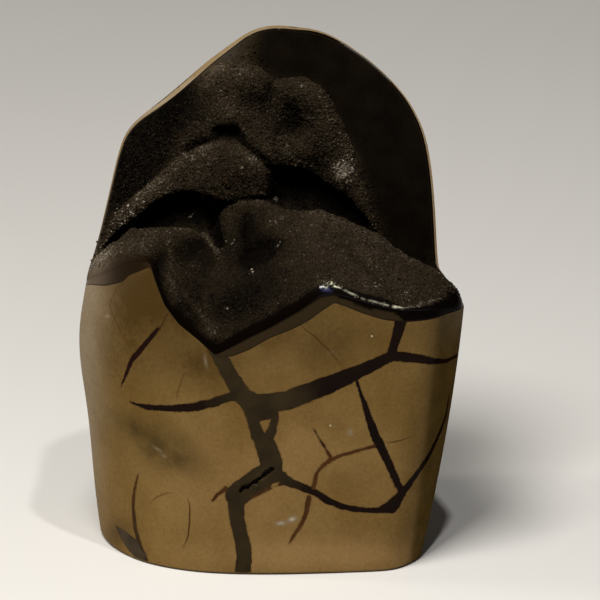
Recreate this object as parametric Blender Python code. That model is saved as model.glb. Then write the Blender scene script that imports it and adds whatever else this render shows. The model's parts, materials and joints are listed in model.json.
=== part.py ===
"""Septarian nodule, cut flat underneath, ground and polished outside, with a crystal-lined hollow.

The limestone is one solid. The dark calcite that lines its hollow is one crust, a second solid.
The front faces -Y, the hollow's back rises behind it to a dome, and the flat base is at z = 0.
"""

import bmesh
import bpy
import numpy as np

MM = 0.001

# Height of the stone, from its sawn base to the top of the dome.
HEIGHT = 161.5 * MM

# The crust: its thickness, the air gap under it, and how steep a flank still counts when it is made
# thicker straight down.
CRUST = 3.6 * MM
CRUST_GAP = 0.3 * MM
STEEPEST = 2.0

# The bottom edge is ground off by this much, all round.
BASE_CHAMFER = 1.0 * MM

# The ground faces of the outside. Each row: where it faces (degrees anticlockwise from +X, seen from
# above), its distance from the upright axis in mm at the base, how that grows with height and with height
# squared (height in units of 100 mm), and how far in mm its belly bulges, at BELLY_HEIGHT.
GROUND_FACES = [
    ("front", 264, 48.4, 1.0, -1.0, 0),
    ("front right", 276, 47.8, 2.0, -1.5, 0),
    ("left front", 243, 52.6, 3.0, -1.5, 0),
    ("left corner", 215, 56.6, 9.5, -4.5, 2.0),
    ("left", 188, 57.6, 18.0, -8.5, 2.0),
    ("left rear", 165, 57.4, 0.0, -3.2, 4.0),
    ("back left", 125, 47.0, 12.0, -11.0, 0),
    ("back", 90, 42.2, 13.5, -8.5, 0),
    ("back right", 50, 48.0, 12.0, -8.0, 0),
    ("right", 18, 38.6, 28.6, -12.2, 0),
    ("right bevel", 325, 58.8, 10.0, 0, 0),
    ("shoulder cut", 140, 152.0, -74.0, 0, 0),
]
EDGE_SHARPNESS = 26
BELLY_HEIGHT = 70 * MM
BELLY_REACH = 22 * MM

# Height in mm of the limestone's upper edge round the outside, by direction in degrees. On the front it
# is the ragged line where the hollow breaks through the polished face, and the rest is the dome's rim.
STONE_EDGE = [
    (-13, 88), (-2, 88), (8, 89), (11, 98), (14, 111), (18, 125), (26, 137), (34, 144.5), (45, 150.5),
    (57, 154.5), (70, 159.8), (89, HEIGHT / MM), (100, 160), (124, 151.5), (142, 142.5), (158, 134.5),
    (167, 127), (178, 112), (188, 96), (194, 90), (206, 95), (217, 101.5), (225, 105.5), (227.5, 99),
    (230, 93), (235, 87), (242, 82), (249, 76.5), (254, 78.5), (269, 85), (281, 91), (291, 97), (298, 95.5),
    (306, 92), (313, 89.5), (322, 89), (334, 88), (341, 87),
]

# Height in mm of the crust's own edge above the limestone, where it is cut and polished with the outside.
CRUST_BAND = [
    (-13, 3.0), (-4, 1.4), (5, 0.8), (60, 0.7), (80, -0.1), (150, -0.1), (170, 0.5), (180, 1.2), (194, 4.5),
    (206, 7.5), (217, 8.0), (223, 6.0), (228, 1.4), (244, 1.4), (251, 3.0), (258, 3.8), (288, 3.8),
    (298, 3.4), (308, 4.0), (330, 4.2), (341, 3.6),
]

# How far in mm the crust stops short of the outside, which leaves a rim of bare limestone round the dome,
# and how far that rim falls inward for each mm of its width.
RIM_WIDTH = [
    (-13, 0.9), (0, 1.1), (15, 1.0), (50, 1.2), (80, 2.6), (110, 3.2), (150, 3.0), (165, 1.8), (180, 1.5),
    (192, 0.3), (325, 0.3),
]
RIM_FALL = 0.35

# Crests of the crust inside the hollow. Each: the points it runs through, as (x, y, z) in mm, the slope
# of its front flank, the slope of its back flank, and the radius in mm that rounds its top.
CRESTS = {
    "apron": (
        [(4, -17, 117), (16, -17, 118), (21, -17, 115.5), (29, -18, 112), (35, -19, 109.5), (41, -20, 104.5),
         (46, -21, 101.5), (53, -23, 99.5), (58, -26, 98), (61, -30, 95)],
        0.72, 1.9, 3.0,
    ),
    "knob": ([(-12, -15, 118.5), (-4, -15, 120), (1, -16, 119), (5, -17, 116.5)], 1.1, 2.2, 3.0),
    "left lip": (
        [(-55, -12, 99), (-51, -19, 106), (-45, -26, 113), (-38.5, -28, 114.8), (-33, -28, 115.2),
         (-27, -28, 115.2), (-23, -28, 112.5), (-20.5, -26, 109)],
        1.7, 1.9, 2.5,
    ),
    "middle ridge": (
        [(-56, -5, 101), (-51, -1, 109), (-43.5, 3, 115), (-38.5, 6, 118.7), (-33.5, 8, 123),
         (-28.5, 10, 126.5), (-24, 11, 129.5), (-19, 11, 131.5), (-14, 11, 131.5), (-7.5, 9, 127.5),
         (-4, 8, 125.5), (-1.5, 7, 122), (0.5, 5, 114)],
        2.0, 1.6, 4.0,
    ),
    "upper left lump": ([(-22, 30, 148), (-13, 28, 152), (-6, 28, 150.5), (-2, 29, 146.5)], 1.5, 1.8, 3.0),
    "upper right lump": (
        [(0, 29, 145), (5, 28, 147), (10, 28, 147.5), (15, 27, 144.5), (18.5, 25.5, 140), (21.5, 24, 134.5),
         (24.5, 23, 127.5), (28, 22, 120), (30, 20, 113)],
        2.2, 1.8, 2.5,
    ),
}

# Pits in the crust, as (x, y) in mm, their radius and their depth.
PITS = [(10, 3, 12.0, 15.0), (-4, -24, 5.5, 4.0), (6.5, 23, 4.5, 5.0), (-38, -17, 7.0, 3.0)]

# How steeply the hollow's wall falls from the rim, by direction: gently on the left, steeply on the right.
# Then the radius of the wall's upper edge, the floor's height, the softness of the creases between the
# forms, and how far from its cut edge the crust still follows that edge.
WALL_SLOPE = [(-13, 1.5), (5, 2.4), (75, 2.5), (95, 2.2), (115, 1.5), (190, 1.5), (215, 2.4), (330, 2.4)]
WALL_ROUNDING = 5.0 * MM
HOLLOW_FLOOR = 84 * MM
CREASE = 1.4 * MM
EDGE_REACH = 7.0 * MM

# How finely the two solids are divided.
SEGMENTS = 80
BASE_RINGS = 1
WALL_RINGS = 8
HOLLOW_RINGS = 15
SIDE_CROWDING = 0.12
PATH_STEPS = 160


def by_direction(table, angle):
    """The table's value, in metres, at each direction, along straight lines between its rows."""
    degrees, values = np.array(table, float).T
    return np.interp(np.degrees(angle), degrees, values, period=360) * MM


def outside_radius(angle, z):
    """Distance from the upright axis to the ground outside. Every face gives cos(turn) / distance, and the
    root of the sum of their powers joins them all into one form with rounded edges."""
    height = z / (100 * MM)
    total = 0.0
    swell = np.exp(-(((z - BELLY_HEIGHT) / BELLY_REACH) ** 2))
    for _, facing, base, lean, curve, belly in GROUND_FACES:
        distance = (base + lean * height + curve * height**2 + belly * swell) * MM
        turn = np.cos(angle - np.radians(facing))
        total = total + (np.maximum(turn, 0.0) / distance) ** EDGE_SHARPNESS
    return total ** (-1.0 / EDGE_SHARPNESS)


def on_outside(angle, z):
    """Points of the ground outside at these directions and heights."""
    radius = outside_radius(angle, z)
    return np.stack([radius * np.cos(angle), radius * np.sin(angle), z + 0 * angle], axis=-1)


def crest_height(x, y, points, front_slope, back_slope, rounding):
    """Height of one crest's own form: its top follows the points, and it falls away as a rounded ridge."""
    points = np.array(points, float) * MM
    rounding = rounding * MM
    best = np.full(x.shape, np.inf)
    top = np.zeros(x.shape)
    behind = np.zeros(x.shape)
    for start, end in zip(points[:-1], points[1:]):
        run = end - start
        share = ((x - start[0]) * run[0] + (y - start[1]) * run[1]) / (run[0] ** 2 + run[1] ** 2)
        share = np.clip(share, 0, 1)
        away_x = x - start[0] - share * run[0]
        away_y = y - start[1] - share * run[1]
        distance = np.hypot(away_x, away_y)
        nearer = distance < best
        best = np.where(nearer, distance, best)
        top = np.where(nearer, start[2] + share * run[2], top)
        behind = np.where(nearer, away_y / np.maximum(distance, 1e-9), behind)
    slope = front_slope + (back_slope - front_slope) * (0.5 + 0.5 * np.tanh(3 * behind))
    return top - (np.sqrt((slope * best) ** 2 + rounding**2) - rounding)


def wall_height(x, y):
    """Height of the hollow's steep wall, which falls inward from the rim at the same direction."""
    angle = np.arctan2(y, x)
    rim = by_direction(STONE_EDGE, angle)
    inward = outside_radius(angle, rim) - np.hypot(x, y)
    slope = by_direction(WALL_SLOPE, angle) / MM
    fall = np.sqrt((slope * inward) ** 2 + WALL_ROUNDING**2) - WALL_ROUNDING
    return rim - fall


def hollow_height(x, y):
    """Height of the crust's surface: the highest of the crests, the wall and the floor, with soft creases."""
    forms = [crest_height(x, y, *crest) for crest in CRESTS.values()]
    forms.append(wall_height(x, y))
    forms.append(np.full(x.shape, HOLLOW_FLOOR))
    forms = np.array(forms)
    highest = forms.max(axis=0)
    height = highest + CREASE * np.log(np.exp((forms - highest) / CREASE).sum(axis=0))
    for pit_x, pit_y, radius, depth in PITS:
        off = np.hypot(x - pit_x * MM, y - pit_y * MM) / (radius * MM)
        height = height - depth * MM * np.exp(-(off**2))
    return height


def rim_bed(angle):
    """Height of the limestone where the crust's edge starts, on the inner side of the bare rim."""
    return by_direction(STONE_EDGE, angle) - RIM_FALL * by_direction(RIM_WIDTH, angle)


def crust_edge(angle):
    """(distance from the axis, height) of the crust's upper edge."""
    stone = by_direction(STONE_EDGE, angle)
    top = stone + by_direction(CRUST_BAND, angle)
    return outside_radius(angle, top) - by_direction(RIM_WIDTH, angle), top


def crust_top(angle, radius):
    """Height of the crust, drawn to its own edge within a short reach of it."""
    edge_radius, edge_top = crust_edge(angle)
    height = hollow_height(radius * np.cos(angle), radius * np.sin(angle))
    at_edge = hollow_height(edge_radius * np.cos(angle), edge_radius * np.sin(angle))
    pull = np.exp(-(((edge_radius - radius) / EDGE_REACH) ** 2))
    return height + (edge_top - at_edge) * pull


def steepness(angle, radius):
    """How much longer the surface is than its shadow: a thickness straight down has to grow by this."""
    step = 0.6 * MM
    along = crust_top(angle, radius + step) - crust_top(angle, radius - step)
    turn = step / np.maximum(radius, 6 * MM)
    across = crust_top(angle + turn, radius) - crust_top(angle - turn, radius)
    return np.minimum(np.sqrt(1 + (along**2 + across**2) / (2 * step) ** 2), STEEPEST)


def crust_depth(angle, radius):
    """Thickness of the crust straight down: all of it inside, and what its cut edge shows near the rim."""
    edge_radius, edge_top = crust_edge(angle)
    at_edge = edge_top - rim_bed(angle)
    pull = np.exp(-(((edge_radius - radius) / EDGE_REACH) ** 2))
    return CRUST * steepness(angle, radius) * (1 - pull) + at_edge * pull


def stone_top(angle, radius):
    """Height of the limestone under the crust."""
    return crust_top(angle, radius) - crust_depth(angle, radius)


def even_radii(angle, edge_radius, surface, rings):
    """Radii that divide the way from the edge to the axis evenly along the surface, edge first."""
    share = np.linspace(1, 0, PATH_STEPS)[:, None]
    radius = share * edge_radius
    height = surface(angle + 0 * radius, radius)
    steps = np.hypot(np.diff(radius, axis=0), np.diff(height, axis=0))
    way = np.concatenate([np.zeros((1, len(angle))), np.cumsum(steps, axis=0)])
    wanted = np.linspace(0, 1, rings + 1)
    found = [np.interp(wanted * way[-1, i], way[:, i], radius[:, i]) for i in range(len(angle))]
    return np.array(found).T


def at(angle, radius, z):
    """Points from directions, distances from the axis and heights."""
    return np.stack([radius * np.cos(angle), radius * np.sin(angle), z], axis=-1)


def ring_of(angle, point):
    """A ring closed up into one point."""
    return np.broadcast_to(np.array(point, float), (len(angle), 3))


def object_from_sphere(name, rings, lift, colour, roughness, collection):
    """A UV sphere whose rings of vertices, pole to pole, are slid to the given rings of points, divided
    into triangles there, and only then lifted, so that two surfaces a gap apart are divided alike."""
    rings = np.array(rings)
    last = len(rings) - 1
    mesh = bpy.data.meshes.new(name)
    bm = bmesh.new()
    bmesh.ops.create_uvsphere(bm, u_segments=SEGMENTS, v_segments=last, radius=1.0)
    lifts = []
    for vertex in bm.verts:
        level = round(np.arccos(np.clip(-vertex.co.z, -1, 1)) / np.pi * last)
        segment = round(np.arctan2(vertex.co.y, vertex.co.x) / (2 * np.pi) * SEGMENTS) % SEGMENTS
        vertex.co = rings[level, segment]
        lifts.append(lift[level, segment])
    bmesh.ops.triangulate(bm, faces=bm.faces, quad_method="SHORT_EDGE")
    for vertex, up in zip(bm.verts, lifts):
        vertex.co.z += up
    bm.to_mesh(mesh)
    bm.free()
    mesh.shade_smooth()
    mesh.set_sharp_from_angle(angle=np.radians(50))
    material = bpy.data.materials.new(name)
    material.use_nodes = True
    shader = material.node_tree.nodes["Principled BSDF"]
    shader.inputs["Base Color"].default_value = (*colour, 1)
    shader.inputs["Roughness"].default_value = roughness
    mesh.materials.append(material)
    made = bpy.data.objects.new(name, mesh)
    collection.objects.link(made)
    return made


def all_directions():
    """The directions of the segments, a little closer together at the two sides, where the ridges end."""
    turn = np.arange(SEGMENTS) * 2 * np.pi / SEGMENTS
    return turn - SIDE_CROWDING * np.sin(2 * turn)


def hollow_bed():
    """The rings of the limestone's hollow from its rim to the axis, with the first at the crust's edge."""
    angle = all_directions()
    radii = even_radii(angle, crust_edge(angle)[0], stone_top, HOLLOW_RINGS)
    rings = [at(angle, radius, stone_top(angle, radius)) for radius in radii[:-1]]
    rings.append(ring_of(angle, (0, 0, stone_top(angle, 0 * angle).mean())))
    return radii, rings


def nodule(collection):
    """The limestone: flat base, ground outside, and the hollow's bed inside the rim."""
    angle = all_directions()
    edge = by_direction(STONE_EDGE, angle)
    foot = outside_radius(angle, BASE_CHAMFER + 0 * angle)
    rings = [ring_of(angle, (0, 0, 0))]
    for share in np.linspace(0, 1, BASE_RINGS + 1)[1:]:
        rings.append(at(angle, share * (foot - BASE_CHAMFER), 0 * angle))
    for share in np.linspace(0, 1, WALL_RINGS + 1):
        rings.append(on_outside(angle, BASE_CHAMFER + share * (edge - BASE_CHAMFER)))
    rings.extend(hollow_bed()[1])
    lift = np.zeros((len(rings), SEGMENTS))
    return object_from_sphere("nodule", rings, lift, (0.24, 0.15, 0.065), 0.2, collection)


def crystal_crust(collection):
    """The calcite lining: a small gap under it, and in front its edge is flush with the limestone."""
    angle = all_directions()
    edge_radius, edge_top = crust_edge(angle)
    bed_radii, bed = hollow_bed()
    radii = even_radii(angle, edge_radius, crust_top, HOLLOW_RINGS)
    rings = bed[::-1] + [at(angle, edge_radius, edge_top)]
    for radius in radii[1:-1]:
        rings.append(at(angle, radius, crust_top(angle, radius)))
    rings.append(ring_of(angle, (0, 0, crust_top(angle, 0 * angle).mean())))
    lift = np.zeros((len(rings), SEGMENTS))
    for level, radius in enumerate(bed_radii[::-1]):
        gap = CRUST_GAP * steepness(angle, radius)
        lift[level] = gap if level else gap.mean()
    return object_from_sphere("crystal_crust", rings, lift, (0.03, 0.022, 0.014), 0.5, collection)


def main():
    for old in list(bpy.data.objects):
        bpy.data.objects.remove(old)
    collection = bpy.data.collections.new("septarian_nodule")
    bpy.context.scene.collection.children.link(collection)
    nodule(collection)
    crystal_crust(collection)


main()
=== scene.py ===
# %% [markdown]
# # A septarian nodule
#
# A septarian nodule starts as a lump of limy mud that sets hard on the sea bed, shrinks and cracks
# inside. Calcite then fills the cracks, dark and shiny. This one has been sawn flat underneath, so that
# it stands, and ground and polished all round. On top it is broken open: there the widest crack was
# never filled, and it is a hollow lined with a dark crust of crystals.
#
# The frame holds two plain solids, the limestone and its crust. This script dresses them, in this order:
# the camera, the limestone with its veins, the crust with its ledges and rounded edge, the small crystals
# on the crust, the finishes, and last the floor and the light.

# %% The frame
import json

import bpy
import numpy as np
from mathutils import Matrix, Vector

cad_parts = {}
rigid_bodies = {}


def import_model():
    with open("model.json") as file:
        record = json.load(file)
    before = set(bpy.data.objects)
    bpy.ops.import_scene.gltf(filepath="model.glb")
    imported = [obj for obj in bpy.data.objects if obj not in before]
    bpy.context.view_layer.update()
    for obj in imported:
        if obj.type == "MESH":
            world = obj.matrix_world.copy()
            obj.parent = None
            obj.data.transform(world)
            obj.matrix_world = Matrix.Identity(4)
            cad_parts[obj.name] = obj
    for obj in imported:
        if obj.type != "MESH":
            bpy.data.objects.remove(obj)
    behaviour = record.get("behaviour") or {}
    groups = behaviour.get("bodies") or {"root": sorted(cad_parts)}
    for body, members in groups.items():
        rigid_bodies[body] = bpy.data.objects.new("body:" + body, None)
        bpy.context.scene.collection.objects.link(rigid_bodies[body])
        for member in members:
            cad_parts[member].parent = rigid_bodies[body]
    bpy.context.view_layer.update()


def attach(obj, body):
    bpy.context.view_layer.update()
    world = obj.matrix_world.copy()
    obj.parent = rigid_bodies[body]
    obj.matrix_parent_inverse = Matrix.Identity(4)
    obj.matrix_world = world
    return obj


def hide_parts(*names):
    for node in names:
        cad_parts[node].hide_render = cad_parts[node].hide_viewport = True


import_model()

MM = 0.001

# %% [markdown]
# ## The camera
#
# The photographer stood back and looked down a little: the sawn base shows as a curve, and the stone's
# upright edges stay parallel. A very long lens from far away does the same. The numbers below tie the
# photograph's pixels to the stone, and the veins use them again: one pixel is a third of a millimetre.

# %% Camera at the photograph's angle
PHOTO_SIDE = 600
PIXEL = 0.33 * MM
AXIS_COLUMN = 272
FOOT_ROW = 575
FOOT_Y = -47 * MM
LOOKING_DOWN = np.radians(20)
CAMERA_DISTANCE = 6.0

to_right = Vector((1, 0, 0))
to_top = Vector((0, np.sin(LOOKING_DOWN), np.cos(LOOKING_DOWN)))
to_camera = to_right.cross(to_top)
picture_middle = (
    to_right * (PHOTO_SIDE / 2 - AXIS_COLUMN) * PIXEL
    + to_top * (FOOT_ROW - PHOTO_SIDE / 2) * PIXEL
    + Vector((0, FOOT_Y, 0))
)
lens = bpy.data.cameras.new("camera")
lens.lens = lens.sensor_width * CAMERA_DISTANCE / (PHOTO_SIDE * PIXEL)
lens.clip_end = 20
camera = bpy.data.objects.new("camera", lens)
turn = Matrix((to_right, to_top, to_camera)).transposed().to_4x4()
camera.matrix_world = Matrix.Translation(picture_middle + to_camera * CAMERA_DISTANCE) @ turn
bpy.context.scene.collection.objects.link(camera)
bpy.context.scene.camera = camera
print("lens:", round(lens.lens), "mm, picture middle at", [round(c / MM) for c in picture_middle], "mm")

# %% [markdown]
# ## The ground outside
#
# A grinder shapes the stone one face at a time and rounds over where two faces meet. A formula can do
# that: each face is a direction and a distance, and adding up high powers of cos(turn) / distance gives
# one smooth outline that hugs the nearest face and rounds the edges. The faces lean and swell with
# height, so their distances are short sums of powers of the height. The frame's solids come from the
# same formula, so a finer surface made with it fits them.

# %% The outside as a formula
HEIGHT = 161.5 * MM
BASE_CHAMFER = 1.0 * MM
EDGE_SHARPNESS = 26
BELLY_HEIGHT = 70 * MM
BELLY_REACH = 22 * MM
# name, facing in degrees, distance in mm at the base, growth with height and with height squared
# (height in units of 100 mm), and how far in mm the face bulges at the belly
GROUND_FACES = [
    ("front", 264, 48.4, 1.0, -1.0, 0),
    ("front right", 276, 47.8, 2.0, -1.5, 0),
    ("left front", 243, 52.6, 3.0, -1.5, 0),
    ("left corner", 215, 56.6, 9.5, -4.5, 2.0),
    ("left", 188, 57.6, 18.0, -8.5, 2.0),
    ("left rear", 165, 57.4, 0.0, -3.2, 4.0),
    ("back left", 125, 47.0, 12.0, -11.0, 0),
    ("back", 90, 42.2, 13.5, -8.5, 0),
    ("back right", 50, 48.0, 12.0, -8.0, 0),
    ("right", 18, 38.6, 28.6, -12.2, 0),
    ("right bevel", 325, 58.8, 10.0, 0, 0),
    ("shoulder cut", 140, 152.0, -74.0, 0, 0),
]


def fading(distance, reach):
    """1 at no distance and nearly nought at twice the reach: exp(-(distance / reach)^2)."""
    return np.exp(-((distance / reach) ** 2))


def outside_radius(angle, z):
    """Distance from the upright axis to the ground outside: the sum over the faces of
    (cos(turn) / distance) to the power EDGE_SHARPNESS, and then its root, turned over."""
    height = z / (100 * MM)
    swell = fading(z - BELLY_HEIGHT, BELLY_REACH)
    total = 0.0
    for _, facing, base, lean, curve, belly in GROUND_FACES:
        distance = (base + lean * height + curve * height**2 + belly * swell) * MM
        turn = np.cos(angle - np.radians(facing))
        total = total + (np.maximum(turn, 0.0) / distance) ** EDGE_SHARPNESS
    return total ** (-1.0 / EDGE_SHARPNESS)


def at(angle, radius, z):
    """Points from directions, distances from the axis and heights: (r cos a, r sin a, z)."""
    return np.stack([radius * np.cos(angle), radius * np.sin(angle), z + 0 * radius], axis=-1)


foot_in_front = outside_radius(np.radians(270), 0.0)
print("ground faces:", len(GROUND_FACES), "foot in front:", round(float(foot_in_front / MM), 1), "mm out")

# %% [markdown]
# ## Where the outside ends
#
# The limestone's upper edge runs low across the front, in the ragged line where the hollow breaks
# through the polished face, and high round the dome behind. It is read off by direction: a table of
# heights, joined by straight lines. Two more tables say how high the crust's own cut edge stands above
# it, and how wide a rim of bare limestone is left round the dome.

# %% Edges by direction
STONE_EDGE = [
    (-13, 86.5), (-2, 88), (8, 89), (11, 98), (14, 111), (18, 125), (26, 137), (34, 144.5), (45, 150.5),
    (57, 154.5), (70, 159.8), (89, HEIGHT / MM), (100, 160), (124, 151.5), (142, 142.5), (158, 134.5),
    (167, 127), (178, 112), (188, 96), (194, 90), (200, 92.7), (208, 95), (215, 98.2), (217.5, 101.2),
    (225, 105.5), (227.5, 99), (230, 93), (235, 87), (242, 82), (248.5, 76.5), (254.5, 76.8),
    (261, 79.2), (269, 83.3), (277, 86), (281, 87.6), (285, 89.6), (289, 92.3), (294, 95.3), (298, 93.8),
    (303, 91.4), (309, 88.9), (314.5, 87.7), (321, 87.7), (328.5, 87.4), (338, 85.8), (341, 85.7),
]
CRUST_BAND = [
    (-13, 4.5), (-4, 1.4), (5, 0.8), (60, 0.7), (80, -0.1), (150, -0.1), (170, 0.5), (180, 1.2),
    (194, 4.5), (200, 6.2), (208, 8.5), (215, 9.6), (217.5, 8.2), (223, 6.0), (228, 1.4), (244, 1.4),
    (249, 2.6), (254.5, 5.3), (261, 6.2), (269, 5.5), (277, 6.8), (281, 7.2), (285, 7.6), (289, 7.2),
    (294, 4.7), (298, 5.1), (303, 5.7), (309, 6.1), (314.5, 5.7), (321, 5.3), (328.5, 5.0), (338, 4.6),
    (341, 4.4),
]
RIM_WIDTH = [
    (-13, 0.9), (0, 1.1), (15, 1.0), (50, 1.2), (80, 2.4), (110, 3.0), (145, 2.8), (158, 1.4),
    (166, 0.8), (180, 0.6), (192, 0.3), (325, 0.3),
]
RIM_FALL = 0.35
FLUSH = 0.25 * MM
LEAST_INSET = 0.05 * MM
# all in degrees: the dome faces DOME_FACING and reaches DOME_HALF to each side of it
SPREAD_IN_FRONT = 0.4
SPREAD_ON_DOME = 3.6
DOME_FACING = 90
DOME_HALF = 85
DOME_FADE = 6


def step_up(value, softness):
    """0 far below nought and 1 far above it, with a soft step between: 1 / (1 + exp(-value / softness))."""
    return 1 / (1 + np.exp(-np.clip(value / softness, -40, 40)))


def by_direction(table, angle):
    """The table's value, in metres, at each direction: straight lines between its rows, averaged over a
    few degrees round the dome, and over a fraction of a degree in front."""
    degrees, values = np.array(table, float).T
    here = np.degrees(angle)
    on_dome = step_up(DOME_HALF - np.abs(here % 360 - DOME_FACING), DOME_FADE)
    spread = SPREAD_IN_FRONT + SPREAD_ON_DOME * on_dome
    steps = [np.interp(here + step * spread, degrees, values, period=360) for step in (-1, -0.4, 0.4, 1)]
    return sum(steps) / len(steps) * MM


def rim_inner_edge(angle):
    """(distance from the axis, height) where the bare rim of limestone ends and the crust starts. In
    front there is no rim, and the crust is nearly flush with the polished outside."""
    edge = by_direction(STONE_EDGE, angle)
    inset = np.maximum(by_direction(RIM_WIDTH, angle) - FLUSH, LEAST_INSET)
    return outside_radius(angle, edge) - inset, edge - RIM_FALL * inset


crust_starts = {facing: rim_inner_edge(np.radians(facing))[1] for facing in (270, 90)}
print("crust starts, by direction:", {f: round(float(z / MM), 1) for f, z in crust_starts.items()}, "mm up")

# %% [markdown]
# ## The hollow's form
#
# Broken crystal ledges are hard to model with a knife, but easy to describe as a landscape: a few ridges
# whose tops follow a line and whose flanks fall away, a steep wall all round, a floor, and some pits.
# The surface is the highest of these at each place, with soft creases where two meet. A landscape like
# that is one height for each place in plan, so it can be worked out for a whole grid at once.

# %% Ridges, wall and pits
CRESTS = {
    "apron": (
        [(4, -17, 117), (16, -17, 118), (21, -17, 115.5), (29, -18, 112), (35, -19, 109.5), (41, -20, 104.5),
         (46, -21, 101.5), (53, -23, 99), (58, -26, 95.6), (61, -30, 92.5)],
        0.72, 1.9, 3.0,
    ),
    "knob": ([(-12, -15, 118.5), (-4, -15, 120), (1, -16, 119), (5, -17, 116.5)], 1.1, 2.2, 3.0),
    "left lip": (
        [(-55, -12, 99), (-51, -19, 106), (-45, -26, 113), (-38.5, -28, 114.8), (-33, -28, 115.2),
         (-27, -28, 115.2), (-23, -28, 112.5), (-20.5, -26, 109)],
        1.7, 1.9, 2.5,
    ),
    "middle ridge": (
        [(-56, -5, 101), (-51, -1, 109), (-43.5, 3, 115), (-38.5, 6, 118.7), (-33.5, 8, 123),
         (-28.5, 10, 126.5), (-24, 11, 129.5), (-19, 11, 131.5), (-14, 11, 131.5), (-7.5, 9, 127.5),
         (-4, 8, 125.5), (-1.5, 7, 122), (0.5, 5, 114)],
        2.0, 1.6, 4.0,
    ),
    "upper left lump": ([(-22, 30, 148), (-13, 28, 152), (-6, 28, 150.5), (-2, 29, 146.5)], 1.5, 1.8, 3.0),
    "upper right lump": (
        [(0, 29, 145), (5, 28, 147), (10, 28, 147.5), (15, 27, 144.5), (18.5, 25.5, 140), (21.5, 24, 134.5),
         (24.5, 23, 127.5), (28, 22, 120), (30, 20, 113)],
        2.2, 1.8, 2.5,
    ),
}
PITS = [(10, 3, 12.0, 15.0), (-4, -24, 5.5, 4.0), (6.5, 23, 4.5, 5.0), (-38, -17, 7.0, 3.0)]
WALL_SLOPE = [(-13, 1.5), (5, 2.4), (75, 2.5), (95, 2.2), (115, 1.5), (190, 1.5), (215, 2.4), (330, 2.4)]
WALL_ROUNDING = 5.0 * MM
HOLLOW_FLOOR = 84 * MM
CREASE = 1.4 * MM
BEND_SOFTNESS = 1.2 * MM
EDGE_REACH = 7.0 * MM


def crest_height(x, y, points, front_slope, back_slope, rounding):
    """Height of one ridge: the height of the nearest place on its line, less sqrt((slope * distance)^2
    + rounding^2) - rounding. The line's runs share a place by exp(-distance / BEND_SOFTNESS), so that a
    bend in the line leaves no fold. The slope changes from the front flank's to the back flank's."""
    points = np.array(points, float) * MM
    rounding = rounding * MM
    distances, tops, behind = [], [], []
    for start, end in zip(points[:-1], points[1:]):
        run = end - start
        share = ((x - start[0]) * run[0] + (y - start[1]) * run[1]) / (run[0] ** 2 + run[1] ** 2)
        share = np.clip(share, 0, 1)
        away_y = y - start[1] - share * run[1]
        distances.append(np.hypot(x - start[0] - share * run[0], away_y))
        tops.append(start[2] + share * run[2])
        behind.append(away_y / np.maximum(distances[-1], 1e-9))
    distances = np.array(distances)
    nearest = distances.min(axis=0)
    weights = np.exp((nearest - distances) / BEND_SOFTNESS)
    weights = weights / weights.sum(axis=0)
    top, behind = (weights * tops).sum(axis=0), (weights * behind).sum(axis=0)
    slope = front_slope + (back_slope - front_slope) * (0.5 + 0.5 * np.tanh(3 * behind))
    return top - (np.sqrt((slope * nearest) ** 2 + rounding**2) - rounding)


def wall_height(x, y):
    """Height of the steep wall: the rim's height, less a rounded fall with the distance inward."""
    angle = np.arctan2(y, x)
    rim = by_direction(STONE_EDGE, angle)
    inward = outside_radius(angle, rim) - np.hypot(x, y)
    slope = by_direction(WALL_SLOPE, angle) / MM
    return rim - (np.sqrt((slope * inward) ** 2 + WALL_ROUNDING**2) - WALL_ROUNDING)


def form_heights(x, y):
    """The height of every form at each place, as {name: heights}."""
    heights = {name: crest_height(x, y, *crest) for name, crest in CRESTS.items()}
    heights["wall"] = wall_height(x, y)
    heights["floor"] = np.full(x.shape, HOLLOW_FLOOR)
    return heights


def hollow_height(x, y):
    """The highest form, softened: highest + CREASE * log(sum of exp((form - highest) / CREASE)), less
    the pits, each depth * exp(-(distance / radius)^2)."""
    forms = np.array(list(form_heights(x, y).values()))
    highest = forms.max(axis=0)
    height = highest + CREASE * np.log(np.exp((forms - highest) / CREASE).sum(axis=0))
    for pit_x, pit_y, radius, depth in PITS:
        off = np.hypot(x - pit_x * MM, y - pit_y * MM)
        height = height - depth * MM * fading(off, radius * MM)
    return height


def crust_top(angle, radius):
    """Height of the crust, drawn to its own cut edge within a short reach of it."""
    edge_radius = rim_inner_edge(angle)[0]
    edge_top = by_direction(STONE_EDGE, angle) + by_direction(CRUST_BAND, angle)
    height = hollow_height(radius * np.cos(angle), radius * np.sin(angle))
    at_edge = hollow_height(edge_radius * np.cos(angle), edge_radius * np.sin(angle))
    pull = fading(edge_radius - radius, EDGE_REACH)
    return height + (edge_top - at_edge) * pull


on_axis = hollow_height(np.zeros(1), np.zeros(1))[0]
print("crests:", len(CRESTS), "pits:", len(PITS), "height on the axis:", round(float(on_axis / MM), 1), "mm")

# %% [markdown]
# ## Noise for rough stone
#
# Nothing on a stone is smooth or even, so its surfaces need small bumps that never repeat. Two kinds do
# most of the work. Value noise blends random numbers on a grid and gives soft swells. Cell noise puts
# one round lump at a random place in each cell of a grid, and gives the knobbly look of grown crystals.
# Both are worked out from the point's own place, so two pieces that share a place agree on it.

# %% Value noise and lumps
def random_of(cell, seed):
    """A repeatable number from 0 to 1 for each whole-numbered grid corner: the three numbers times
    large odd numbers, added up, and stirred by shifts."""
    x, y, z = (cell[..., axis].astype(np.uint32) for axis in range(3))
    mixed = x * np.uint32(374761393) + y * np.uint32(668265263) + z * np.uint32(2246822519)
    mixed = mixed + np.uint32(seed * 40503 + 12345)
    mixed = (mixed ^ (mixed >> np.uint32(13))) * np.uint32(1274126177)
    mixed = (mixed ^ (mixed >> np.uint32(15))) * np.uint32(2654435761)
    return (mixed ^ (mixed >> np.uint32(16))) / 2.0**32


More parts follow.
